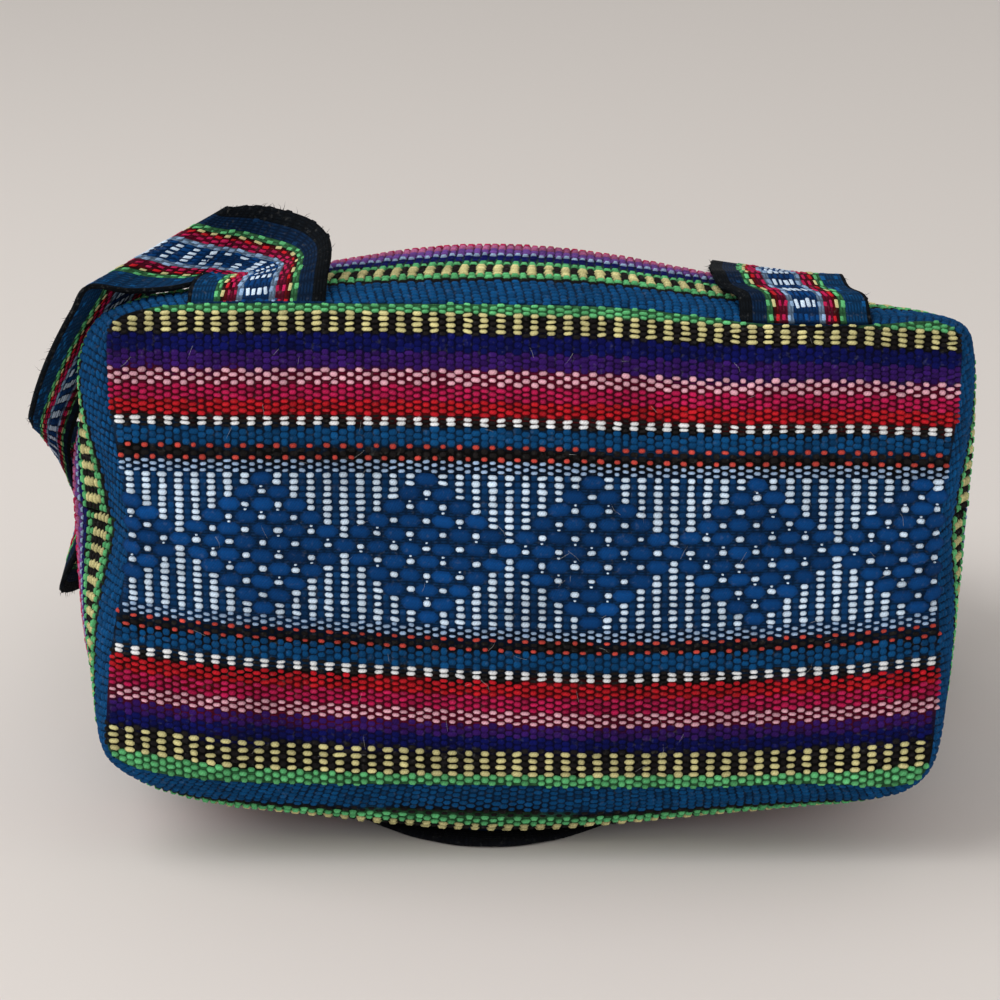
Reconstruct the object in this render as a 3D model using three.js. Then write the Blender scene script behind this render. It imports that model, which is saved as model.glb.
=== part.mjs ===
// Small woven backpack lying on its front, base towards -Y and mouth towards +Y.
// Millimetres, +Z up, floor at z = 0.
import * as THREE from 'three';

const CLOTH = 2; // thickness of the woven cloth
const HEM = 3.4; // thickness of the doubled hem at the mouth
const HEM_DEPTH = 14;
const GAP = 0.3; // clearance between sewn pieces
const CREASE_GAP = 0.4; // where the two halves of the wall meet
const BAG_LENGTH = 250; // base seam to mouth
const BASE_SWELL = 3; // how far the base stands out in the middle
const BASE_MIDDLE = 86; // height of the middle of the base
const FLAP_WIDTH = 120; // at the mouth
const FLAP_ROUND = 150; // length over which the end is rounded
const FLAP_TIP = 19; // distance of the rounded end from the base seam
const FLAP_SHIFT = -11; // the flap lies a little to the left
const FLAP_TOP = 51; // height where it leaves the mouth
const BINDING_WIDTH = 9;
const BINDING = 2.4; // thickness of the binding

// Sections of the wall from the base seam to the mouth
// out: distance from the base seam, half: half width, shift: sideways lean, slump: lean of the underside
// tuck: how much narrower the underside is on each side
// low, high: underside and top, fold: height of the side creases, spread: their height
// left, right: depth of the creases, upper, lower: squareness of the two halves
// crown: swell of the back between the straps, belly: swell of the front, rise: lift of its corners
// hollow: dent of the wall beside the left strap
const sections = [
  { out: 0, half: 106.5, shift: 0, slump: -4, tuck: 0, low: 21.8, high: 148.9,
    fold: 89, spread: 26, left: 4.2, right: 4, upper: 26, lower: 30,
    crown: 0, belly: 0, rise: 7, hollow: 0 },
  { out: 4, half: 109.5, shift: 0, slump: -4.2, tuck: 0.5, low: 16.8, high: 149.4,
    fold: 90, spread: 22, left: 4.5, right: 4, upper: 20, lower: 16,
    crown: 1.3, belly: 2, rise: 7.5, hollow: -1 },
  { out: 10, half: 112, shift: -0.6, slump: -4.4, tuck: 1.5, low: 11.6, high: 149.4,
    fold: 91, spread: 18, left: 4, right: 3.5, upper: 11, lower: 8,
    crown: 3.4, belly: 6, rise: 8, hollow: -2.2 },
  { out: 20, half: 115.2, shift: -2, slump: -4, tuck: 4, low: 8.4, high: 148.6,
    fold: 90, spread: 14, left: 1.5, right: 1, upper: 5.5, lower: 5,
    crown: 6, belly: 5.4, rise: 7, hollow: 1.5 },
  { out: 40, half: 118, shift: -3, slump: -4, tuck: 6, low: 4.6, high: 145,
    fold: 88, spread: 12, left: 1, right: 2, upper: 3.6, lower: 5,
    crown: 9.9, belly: 1.4, rise: 3, hollow: 8.5 },
  { out: 80, half: 117.7, shift: -2, slump: -2, tuck: 1.5, low: 2.8, high: 127,
    fold: 76, spread: 13, left: 16, right: 13, upper: 3.2, lower: 4.6,
    crown: 9, belly: 0, rise: 1, hollow: 4 },
  { out: 140, half: 117, shift: 0, slump: 0, tuck: 0, low: 2.8, high: 98,
    fold: 57, spread: 13, left: 31, right: 29, upper: 3.4, lower: 4,
    crown: 6, belly: 0, rise: 0, hollow: 0 },
  { out: 200, half: 115, shift: 0, slump: 0, tuck: 0, low: 2.8, high: 71,
    fold: 39, spread: 10, left: 36, right: 36, upper: 4, lower: 4,
    crown: 3, belly: 0, rise: 0, hollow: 0 },
  { out: 250, half: 112, shift: 0, slump: 0, tuck: 0, low: 2.8, high: 52,
    fold: 28, spread: 8, left: 38, right: 38, upper: 4, lower: 4,
    crown: 0, belly: 0, rise: 0, hollow: 0 },
];

// Where the back and the front swell most, and how widely.
const crownBell = { at: -8, width: 58 };
const bellyBell = { at: -5, width: 50 };
const hollowBell = { at: 38, width: 16 }; // height above the crease

// Dips along the top and drops along the underside, fading out from the base seam.
const topDips = [
  { at: 56, width: 24, depth: 2.2 },
  { at: 110, width: 62, depth: 6.2 },
  { at: -112, width: 16, depth: 3.2 },
];
const lowDrops = [
  { at: 32, width: 40, depth: 1 },
  { at: 104, width: 18, depth: 5.5 },
];

// Straps from the base seam to the mouth: left border (lx, ly, lz), right border (rx, ry, rz)
// bow: how far the middle is sunk between the borders
const leftStrap = [
  { lx: -86, ly: 0.6, lz: 150.6, rx: -52, ry: 0.6, rz: 150.6, bow: 0 },
  { lx: -85.5, ly: 3.5, lz: 151.4, rx: -51.2, ry: 6, rz: 155.5, bow: 1.5 },
  { lx: -84.5, ly: 6.5, lz: 153, rx: -50.8, ry: 12, rz: 159, bow: 3.2 },
  { lx: -83, ly: 9, lz: 153.7, rx: -52, ry: 19, rz: 162, bow: 5.2 },
  { lx: -82, ly: 10, lz: 153.7, rx: -57, ry: 25, rz: 165, bow: 7.5 },
  { lx: -83.5, ly: 8.5, lz: 152.2, rx: -65.5, ry: 28, rz: 167, bow: 7.6 },
  { lx: -91, ly: 5.4, lz: 150.9, rx: -71.5, ry: 27, rz: 167.8, bow: 5 },
  { lx: -101, ly: 4.8, lz: 150.4, rx: -75.5, ry: 25, rz: 167.8, bow: 2 },
  { lx: -111, ly: 5, lz: 151.3, rx: -78, ry: 24, rz: 167.3, bow: 0 },
  { lx: -115.5, ly: 7.5, lz: 144.5, rx: -84, ry: 28, rz: 160.5, bow: 0 },
  { lx: -120, ly: 10.5, lz: 136.5, rx: -93, ry: 33.5, rz: 149, bow: 0 },
  { lx: -124, ly: 12.5, lz: 128, rx: -102, ry: 37.6, rz: 138.5, bow: 0 },
  { lx: -127, ly: 14.5, lz: 119.5, rx: -113.5, ry: 44.5, rz: 121.5, bow: 0 },
  { lx: -128.5, ly: 20, lz: 112.5, rx: -122.9, ry: 48, rz: 101, bow: 0 },
  { lx: -127, ly: 46, lz: 104, rx: -123.8, ry: 67, rz: 79, bow: 0 },
  { lx: -122.5, ly: 82, lz: 96, rx: -124, ry: 84, rz: 64, bow: 0 },
  { lx: -123, ly: 96, lz: 77, rx: -133, ry: 92, rz: 45, bow: 0 },
  { lx: -122, ly: 128, lz: 73, rx: -126, ry: 122, rz: 40, bow: 0 },
  { lx: -121, ly: 164, lz: 71, rx: -124, ry: 165, rz: 37, bow: 0 },
  { lx: -108, ly: 184, lz: 75, rx: -120, ry: 206, rz: 50, bow: 0 },
  { lx: -82, ly: 205, lz: 76, rx: -98, ry: 235, rz: 60, bow: 0 },
  { lx: -51, ly: 214, lz: 71.5, rx: -62, ry: 246, rz: 58, bow: 0 },
  { lx: -21, ly: 213, lz: 69.9, rx: -29, ry: 246, rz: 55.2, bow: 0 },
];
const rightStrap = [
  { lx: 51, ly: 0.6, lz: 146.8, rx: 83.5, ry: 0.6, rz: 146.4, bow: 0 },
  { lx: 50.5, ly: 5, lz: 149.6, rx: 82.5, ry: 5, rz: 149, bow: 0 },
  { lx: 46.5, ly: 10, lz: 150.6, rx: 79, ry: 10, rz: 149.9, bow: 0 },
  { lx: 45, ly: 15, lz: 152.8, rx: 77.5, ry: 15, rz: 152, bow: 0 },
  { lx: 45, ly: 23, lz: 151.8, rx: 77, ry: 23, rz: 150, bow: 0 },
  { lx: 45.5, ly: 34, lz: 150.6, rx: 77.5, ry: 35, rz: 147.3, bow: 0 },
  { lx: 48, ly: 50, lz: 148, rx: 80, ry: 47, rz: 143.5, bow: 0 },
  { lx: 58, ly: 90, lz: 131, rx: 89, ry: 78, rz: 129.5, bow: 0 },
  { lx: 80, ly: 122, lz: 112, rx: 104, ry: 98, rz: 118, bow: 0 },
  { lx: 106, ly: 142, lz: 95, rx: 117, ry: 112, rz: 104, bow: 0 },
  { lx: 119.5, ly: 150, lz: 72, rx: 121, ry: 117, rz: 83, bow: 0 },
  { lx: 120, ly: 158, lz: 42, rx: 121, ry: 125, rz: 48, bow: 0 },
  { lx: 120.5, ly: 166, lz: 16, rx: 121, ry: 133, rz: 19, bow: 0 },
  { lx: 124, ly: 171, lz: 9, rx: 124.5, ry: 138, rz: 11, bow: 0 },
  { lx: 127.5, ly: 177, lz: 16, rx: 128, ry: 144, rz: 19, bow: 0 },
  { lx: 126, ly: 188, lz: 46, rx: 127, ry: 155, rz: 52, bow: 0 },
  { lx: 122, ly: 202, lz: 71, rx: 124.5, ry: 170, rz: 82, bow: 0 },
  { lx: 103, ly: 218, lz: 79, rx: 103, ry: 184, rz: 92, bow: 0 },
  { lx: 72, ly: 234, lz: 66, rx: 66, ry: 200, rz: 80, bow: 0 },
  { lx: 46, ly: 245, lz: 58.5, rx: 40, ry: 212, rz: 72.5, bow: 0 },
  { lx: 22, ly: 247, lz: 54.7, rx: 17, ry: 214, rz: 69.4, bow: 0 },
];

// Smooth curve through one column of a table.
function between(rows, key, place) {
  const last = rows.length - 1;
  const span = Math.min(Math.floor(place), last - 1);
  const t = place - span;
  const b = rows[span][key];
  const c = rows[span + 1][key];
  const a = span > 0 ? rows[span - 1][key] : 2 * b - c;
  const d = span < last - 1 ? rows[span + 2][key] : 2 * c - b;
  const slope = (c - a) / 2;
  const nextSlope = (d - b) / 2;
  const lift = c - b;
  const square = 3 * lift - 2 * slope - nextSlope;
  const cube = slope + nextSlope - 2 * lift;
  return b + t * (slope + t * (square + t * cube));
}

function placeOf(out) {
  let span = 0;
  while (span < sections.length - 2 && sections[span + 1].out < out) {
    span += 1;
  }
  const from = sections[span].out;
  return span + (out - from) / (sections[span + 1].out - from);
}

const bell = (x, at, width) => Math.exp(-(((x - at) / width) ** 2));

const dents = (x, rows) => rows.reduce((sum, row) => sum + row.depth * bell(x, row.at, row.width), 0);

// Point on the outside of the wall, angle 0 at the right crease and pi at the left one.
function wallPoint(out, angle) {
  const place = placeOf(out);
  const pick = (key) => between(sections, key, place);
  const up = Math.sin(angle) >= 0;
  const fold = pick('fold');
  const half = pick('half');
  const tall = up ? pick('high') - fold : fold - pick('low');
  const power = pick(up ? 'upper' : 'lower');
  const side = (Math.abs(Math.cos(angle)) / half) ** power;
  const rise = (Math.abs(Math.sin(angle)) / tall) ** power;
  const reach = (side + rise) ** (-1 / power);
  let x = reach * Math.cos(angle);
  let z = reach * Math.sin(angle);
  const share = Math.abs(z) / tall;
  const near = Math.exp(-out / 30);
  const depth = pick(x < 0 ? 'left' : 'right');
  let pinch = Math.sign(x) * depth * bell(z, 0, pick('spread'));
  if (x < 0) {
    pinch -= pick('hollow') * bell(z, hollowBell.at, hollowBell.width);
  }
  if (up) {
    const crown = pick('crown') * bell(x, crownBell.at, crownBell.width);
    z += share * (crown - near * dents(x, topDips));
  } else {
    const corner = pick('rise') * (x / half) ** 6;
    const belly = pick('belly') * bell(x, bellyBell.at, bellyBell.width);
    z += share * (corner - belly - near * dents(x, lowDrops));
    x += share * (pick('slump') - pick('tuck') * (x / half));
  }
  x -= pinch;
  return new THREE.Vector3(x + pick('shift'), out, fold + z);
}

// One half of a wall section, from crease to crease in equal steps along the cloth.
function halfLoop(out, from, to, spans) {
  const fine = 360;
  const raw = [];
  for (let k = 0; k <= fine; k += 1) {
    raw.push(wallPoint(out, from + (to - from) * (k / fine)));
  }
  const lengths = [0];
  for (let k = 1; k <= fine; k += 1) {
    lengths.push(lengths[k - 1] + raw[k].distanceTo(raw[k - 1]));
  }
  const points = [];
  let k = 1;
  for (let i = 0; i <= spans; i += 1) {
    const want = CREASE_GAP / 2 + (lengths[fine] - CREASE_GAP) * (i / spans);
    while (k < fine && lengths[k] < want) {
      k += 1;
    }
    const t = (want - lengths[k - 1]) / (lengths[k] - lengths[k - 1]);
    points.push(raw[k - 1].clone().lerp(raw[k], t));
  }
  return points;
}

function solid(points, faces) {
  const geometry = new THREE.BufferGeometry();
  const flat = points.flatMap((point) => point.toArray());
  geometry.setAttribute('position', new THREE.Float32BufferAttribute(flat, 3));
  geometry.setIndex(faces);
  geometry.computeVertexNormals();
  return geometry;
}

// Closed solid from a grid of points, raised by lift and sunk by drop along the normal.
function sheet(grid, lift, drop) {
  const rows = grid.length;
  const across = grid[0].length;
  const faceSide = [];
  const backSide = [];
  grid.forEach((line, j) => {
    line.forEach((point, i) => {
      const du = line[Math.min(i + 1, across - 1)].clone().sub(line[Math.max(i - 1, 0)]);
      const dv = grid[Math.min(j + 1, rows - 1)][i].clone().sub(grid[Math.max(j - 1, 0)][i]);
      const normal = du.cross(dv).normalize();
      faceSide.push(point.clone().addScaledVector(normal, lift(j)));
      backSide.push(point.clone().addScaledVector(normal, -drop(j)));
    });
  });
  const back = faceSide.length;
  const faces = [];
  const quad = (a, b, c, d) => faces.push(a, b, c, a, c, d);
  for (let j = 0; j < rows - 1; j += 1) {
    for (let i = 0; i < across - 1; i += 1) {
      const a = j * across + i;
      const b = a + across;
      quad(a, a + 1, b + 1, b);
      quad(back + a, back + b, back + b + 1, back + a + 1);
    }
  }
  const end = (rows - 1) * across;
  for (let i = 0; i < across - 1; i += 1) {
    quad(i, back + i, back + i + 1, i + 1);
    quad(end + i, end + i + 1, back + end + i + 1, back + end + i);
  }
  for (let j = 0; j < rows - 1; j += 1) {
    const a = j * across;
    const b = a + across - 1;
    quad(a, a + across, back + a + across, back + a);
    quad(b, back + b, back + b + across, b + across);
  }
  return solid(faceSide.concat(backSide), faces);
}

// Rows of the wall, closer at the base seam and at the hem.
const hemFrom = BAG_LENGTH - HEM_DEPTH;
const wallRows = [0, 2.5, 5.5, 9, 14, 20, 27, 35, 45, 58, 74, 92, 112, 134, 158, 182, 206, 224];
wallRows.push(hemFrom, hemFrom + 0.8, BAG_LENGTH);

function wallHalf(from, to) {
  const grid = wallRows.map((out) => halfLoop(out, from, to, 36));
  return sheet(grid, () => 0, (j) => (wallRows[j] > hemFrom ? HEM : CLOTH));
}

// Base: rings from a middle point out to the seam, with soft upright folds.
function basePanel() {
  const seam = halfLoop(0, Math.PI, 0, 34).concat(halfLoop(0, 0, -Math.PI, 34));
  const middle = new THREE.Vector3(0, 0, BASE_MIDDLE);
  const rings = [0.3, 0.58, 0.82, 0.95, 1];
  const front = (point, ring) => {
    const swell = BASE_SWELL * (1 - ring ** 2);
    const folds = 0.7 * Math.sin(point.x / 17 + 0.6) * (1 - ring ** 4);
    return -GAP - CLOTH - swell - folds;
  };
  const points = [];
  for (const depth of [0, CLOTH]) {
    points.push(new THREE.Vector3(0, front(middle, 0) + depth, BASE_MIDDLE));
    for (const ring of rings) {
      for (const edge of seam) {
        const point = middle.clone().lerp(edge, ring);
        points.push(new THREE.Vector3(point.x, front(point, ring) + depth, point.z));
      }
    }
  }
  const n = seam.length;
  const back = points.length / 2;
  const rim = 1 + (rings.length - 1) * n;
  const faces = [];
  for (let i = 0; i < n; i += 1) {
    const k = (i + 1) % n;
    faces.push(0, 1 + k, 1 + i);
    faces.push(back, back + 1 + i, back + 1 + k);
    for (let a = 1; a < rim; a += n) {
      const b = a + n;
      faces.push(a + i, a + k, b + k, a + i, b + k, b + i);
      faces.push(back + a + i, back + b + k, back + a + k);
      faces.push(back + a + i, back + b + i, back + b + k);
    }
    faces.push(rim + i, rim + k, back + rim + k);
    faces.push(rim + i, back + rim + k, back + rim + i);
  }
  return solid(points, faces);
}

// Flap: leaves the top of the mouth, turns down round the end and lies flat on the floor.
const flapTurn = (FLAP_TOP - CLOTH / 2) / 2;
const flapReach = 6;
const flapBend = Math.PI * flapTurn;
const flapLength = flapReach + flapBend + BAG_LENGTH + GAP + flapReach - FLAP_TIP;
const flapRounding = flapLength - FLAP_ROUND;
const flapEnd = BAG_LENGTH + GAP + flapReach;

function flapPath(along) {
  if (along < flapReach) {
    return { y: BAG_LENGTH + GAP + along, z: FLAP_TOP };
  }
  if (along < flapReach + flapBend) {
    const angle = (along - flapReach) / flapTurn;
    const z = FLAP_TOP - flapTurn * (1 - Math.cos(angle));
    return { y: flapEnd + flapTurn * Math.sin(angle), z };
  }
  return { y: flapEnd - (along - flapReach - flapBend), z: CLOTH / 2 };
}

const flapStops = [0, flapReach];
for (let k = 1; k <= 9; k += 1) {
  flapStops.push(flapReach + flapBend * (k / 9));
}
flapStops.push((flapReach + flapBend + flapRounding) / 2, flapRounding);

// One side of the flap outline, moved outwards by extra.
function flapSide(extra, turns, stop) {
  const width = FLAP_WIDTH / 2 + extra;
  const side = flapStops.map((along) => ({ x: width, ...flapPath(along) }));
  for (let k = 1; k <= turns; k += 1) {
    const angle = (k / turns) * stop;
    const y = FLAP_TIP + FLAP_ROUND - (FLAP_ROUND + extra) * Math.sin(angle);
    side.push({ x: width * Math.cos(angle), y, z: CLOTH / 2 });
  }
  return side;
}

function flap() {
  const spans = 8;
  const grid = flapSide(0, 12, 1.45).map((edge) => {
    const line = [];
    for (let i = 0; i <= spans; i += 1) {
      line.push(new THREE.Vector3(FLAP_SHIFT + edge.x * ((2 * i) / spans - 1), edge.y, edge.z));
    }
    return line;
  });
  return sheet(grid, () => CLOTH / 2, () => CLOTH / 2);
}

// Binding: a band round the free edge of the flap, from root to root.
function flapBinding() {
  const edge = (extra) => {
    const side = flapSide(extra, 14, Math.PI / 2);
    const left = side.map((p) => new THREE.Vector3(FLAP_SHIFT - p.x, p.y, p.z));
    const right = side.slice(0, -1).map((p) => new THREE.Vector3(FLAP_SHIFT + p.x, p.y, p.z));
    return left.concat(right.reverse());
  };
  const outer = edge(BINDING_WIDTH);
  const inner = edge(2 * GAP);
  const grid = outer.map((point, j) => [point, inner[j]]);
  return sheet(grid, () => CLOTH / 2, () => BINDING - CLOTH / 2);
}

// Strap: a ribbon between its two border curves, its middle sunk by bow.
function strap(rows) {
  const steps = 3;
  const spans = 4;
  const borders = [];
  for (let k = 0; k <= (rows.length - 1) * steps; k += 1) {
    const pick = (key) => between(rows, key, k / steps);
    const left = new THREE.Vector3(pick('lx'), pick('ly'), pick('lz'));
    const right = new THREE.Vector3(pick('rx'), pick('ry'), pick('rz'));
    borders.push({ left, right, bow: pick('bow') });
  }
  const grid = borders.map(({ left, right, bow }, k) => {
    const before = borders[Math.max(k - 1, 0)];
    const after = borders[Math.min(k + 1, borders.length - 1)];
    const ahead = after.left.clone().add(after.right).sub(before.left).sub(before.right);
    const normal = right.clone().sub(left).cross(ahead).normalize();
    const line = [];
    for (let i = 0; i <= spans; i += 1) {
      const share = i / spans;
      const sunk = 4 * bow * share * (1 - share);
      line.push(left.clone().lerp(right, share).addScaledVector(normal, -sunk));
    }
    return line;
  });
  return sheet(grid, () => CLOTH / 2, () => CLOTH / 2);
}

const bag = new THREE.Group();

function add(name, geometry, color) {
  const material = new THREE.MeshStandardMaterial({ color, roughness: 0.9, metalness: 0 });
  const mesh = new THREE.Mesh(geometry, material);
  mesh.name = name;
  bag.add(mesh);
}

add('base_panel', basePanel(), 0x8c2b3a);
add('back_panel', wallHalf(Math.PI, 0), 0x1f4f96);
add('front_panel', wallHalf(0, -Math.PI), 0x1f4f96);
add('flap', flap(), 0x1f4f96);
add('flap_binding', flapBinding(), 0x12182a);
add('strap_left', strap(leftStrap), 0x2a62a8);
add('strap_right', strap(rightStrap), 0x2a62a8);

// The part rests on the floor, centred over the origin.
const bounds = new THREE.Box3().setFromObject(bag);
const centre = bounds.getCenter(new THREE.Vector3());
bag.position.set(-centre.x, -centre.y, -bounds.min.z);
const part = new THREE.Group();
part.name = 'woven_backpack';
part.add(bag);

export default part;
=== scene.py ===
import math

import bpy
import numpy as np
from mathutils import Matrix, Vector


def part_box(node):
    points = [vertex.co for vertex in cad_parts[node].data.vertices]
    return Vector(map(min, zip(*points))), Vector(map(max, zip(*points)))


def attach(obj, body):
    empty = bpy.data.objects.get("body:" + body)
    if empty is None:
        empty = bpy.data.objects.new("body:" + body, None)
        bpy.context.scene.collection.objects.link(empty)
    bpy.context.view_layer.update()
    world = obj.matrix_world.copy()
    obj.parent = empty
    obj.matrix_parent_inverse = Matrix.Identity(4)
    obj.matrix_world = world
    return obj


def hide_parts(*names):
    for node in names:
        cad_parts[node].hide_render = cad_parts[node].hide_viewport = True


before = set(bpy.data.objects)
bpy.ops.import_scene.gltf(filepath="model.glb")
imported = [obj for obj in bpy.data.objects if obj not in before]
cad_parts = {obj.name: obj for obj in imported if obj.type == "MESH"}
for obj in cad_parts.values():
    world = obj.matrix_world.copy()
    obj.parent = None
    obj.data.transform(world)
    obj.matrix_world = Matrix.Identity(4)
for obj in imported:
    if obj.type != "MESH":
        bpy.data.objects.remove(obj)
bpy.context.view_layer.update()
draws = np.random.default_rng(11)
scene = bpy.context.scene

# the bag lies on its front, base towards -Y; shapes are worked out in millimetres from the base seam
baseLow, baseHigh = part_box("base_panel")
seamAt = np.array([(baseLow[0] + baseHigh[0]) / 2, baseHigh[1] + 0.0003, 0.0])
pieceGap = 0.3
creaseGap = 0.4  # where the two halves of the wall meet


def inMetres(points):
    return np.asarray(points, float) / 1000 + seamAt


# camera, light and floor come first
shot = {
    "target": (-8.5, 0, 98),  # mm from the middle of the base seam
    "distance": 0.8,
    "elevation": 16,
    "lens": 114.6,
    "sensor": 36,
    "clipEnd": 50,
}


def placeCamera():
    data = bpy.data.cameras.new("photoCamera")
    data.lens = shot["lens"]
    data.sensor_width = shot["sensor"]
    data.clip_end = shot["clipEnd"]
    camera = bpy.data.objects.new("photoCamera", data)
    tilt = math.radians(shot["elevation"])
    away = np.array([0, -math.cos(tilt), math.sin(tilt)]) * shot["distance"]
    camera.location = inMetres(shot["target"]) + away
    camera.rotation_euler = (math.pi / 2 - tilt, 0, 0)
    scene.collection.objects.link(camera)
    scene.camera = camera


studio = {
    "floor": (0.70, 0.655, 0.62),
    "floorHalf": 4.0,
    "floorRoughness": 0.7,
    "floorGloss": 0.2,
    "sky": (1.0, 0.985, 0.965),
    "skyPower": 0.64,
    "lamps": (  # name, place, aim, size, watts
        ("window", (-1.15, -0.4, 1.4), (0, 0, 0.05), 1.8, 20),
        ("frontFill", (0.2, -2.2, 0.65), (0, -0.1, 0.1), 1.5, 12),
    ),
}


def lightStudio():
    world = bpy.data.worlds.new("softRoom")
    world.use_nodes = True
    backdrop = world.node_tree.nodes["Background"]
    backdrop.inputs["Color"].default_value = (*studio["sky"], 1)
    backdrop.inputs["Strength"].default_value = studio["skyPower"]
    scene.world = world
    for name, place, aim, size, watts in studio["lamps"]:
        data = bpy.data.lights.new(name, "AREA")
        data.shape = "DISK"
        data.size = size
        data.energy = watts
        lamp = bpy.data.objects.new(name, data)
        lamp.location = place
        toward = np.array(aim) - np.array(place)
        lamp.rotation_euler = (
            math.atan2(math.hypot(toward[0], toward[1]), -toward[2]),
            0,
            math.atan2(toward[1], toward[0]) - math.pi / 2,
        )
        scene.collection.objects.link(lamp)
    scene.view_settings.view_transform = "Standard"


def layFloor():
    half = studio["floorHalf"]
    mesh = bpy.data.meshes.new("floor")
    corners = [(-half, -half, 0), (half, -half, 0), (half, half, 0), (-half, half, 0)]
    mesh.from_pydata(corners, [], [(0, 1, 2, 3)])
    floor = bpy.data.objects.new("floor", mesh)
    scene.collection.objects.link(floor)
    paint = bpy.data.materials.new("palePaint")
    paint.use_nodes = True
    shader = paint.node_tree.nodes["Principled BSDF"]
    shader.inputs["Base Color"].default_value = (*studio["floor"], 1)
    shader.inputs["Roughness"].default_value = studio["floorRoughness"]
    shader.inputs["Specular IOR Level"].default_value = studio["floorGloss"]
    mesh.materials.append(paint)


placeCamera()
lightStudio()
layFloor()
print("camera, light and floor set")

# dyed yarns, one letter each in the weaving charts
yarnColours = {
    "g": "5cb172",  # leaf green
    "y": "c8c088",  # straw yellow
    "k": "1a1717",  # black
    "n": "070c4c",  # navy
    "v": "2f1259",  # violet
    "p": "d6a0ae",  # pale pink
    "u": "643f86",  # paler violet of the walls
    "f": "a65c84",  # paler magenta of the walls
    "c": "b01b4c",  # crimson
    "r": "b51924",  # red
    "w": "e2e4e6",  # undyed white
    "x": "c6d8ea",  # white with a blue tinge, among the diamonds
    "b": "07416f",  # blue
    "o": "bb443b",  # orange red
    "s": "93abc9",  # sky blue
    "d": "06396f",  # denim blue of the diamonds
    "q": "073058",  # the same blue made darker: painted shade where it sinks between the white bars
    "t": "0a4c80",  # blue border of the straps
    "m": "0b1219",  # midnight edge of the straps
    "z": "0a2c50",  # dark blue beside it: the blue of the border darkened, painted shade
    "a": "86a3c4",  # steel blue beside the white bars of the straps
}


def linear(hexCode):
    parts = np.array([int(hexCode[k : k + 2], 16) / 255 for k in (0, 2, 4)])
    return np.where(parts <= 0.04045, parts / 12.92, ((parts + 0.055) / 1.055) ** 2.4)


yarnLight = {letter: linear(code) for letter, code in yarnColours.items()}


def coloursOf(letters):
    return np.array([yarnLight[letter] for letter in letters])


# shared shader groups
def newGroup(name, inputs, outputs):
    group = bpy.data.node_groups.new(name, "ShaderNodeTree")
    for label, kind, value in inputs:
        socket = group.interface.new_socket(label, in_out="INPUT", socket_type=kind)
        socket.default_value = value
    for label, kind in outputs:
        group.interface.new_socket(label, in_out="OUTPUT", socket_type=kind)
    return group, group.nodes.new("NodeGroupInput"), group.nodes.new("NodeGroupOutput")


def addNode(tree, kind, **settings):
    node = tree.nodes.new(kind)
    for key, value in settings.items():
        setattr(node, key, value)
    return node


def mathNode(tree, operation, *values):
    node = addNode(tree, "ShaderNodeMath", operation=operation)
    for k, value in enumerate(values):
        if hasattr(value, "is_linked"):
            tree.links.new(value, node.inputs[k])
        else:
            node.inputs[k].default_value = value
    return node.outputs[0]


def tinted(tree, blend, factor, first, second):
    # a colour mix has its factor, colours and result at these sockets
    node = addNode(tree, "ShaderNodeMix", data_type="RGBA", blend_type=blend)
    for socket, value in zip((node.inputs[0], node.inputs[6], node.inputs[7]), (factor, first, second)):
        if hasattr(value, "is_linked"):
            tree.links.new(value, socket)
        else:
            socket.default_value = value
    return node.outputs[2]


yarnSpin = {
    "stretch": (1.1, 7, 1),  # fibres run along the yarn
    "slant": 0.22,
    "fibreScale": 1.3,
    "fibreDetail": 3,
    "twistLean": 0.6,
    "twistScale": 0.55,
    "twistWander": 1.5,
    "dyeScale": 45,
    "dyeDetail": 4,
    "strength": 2.0,
}


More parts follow.
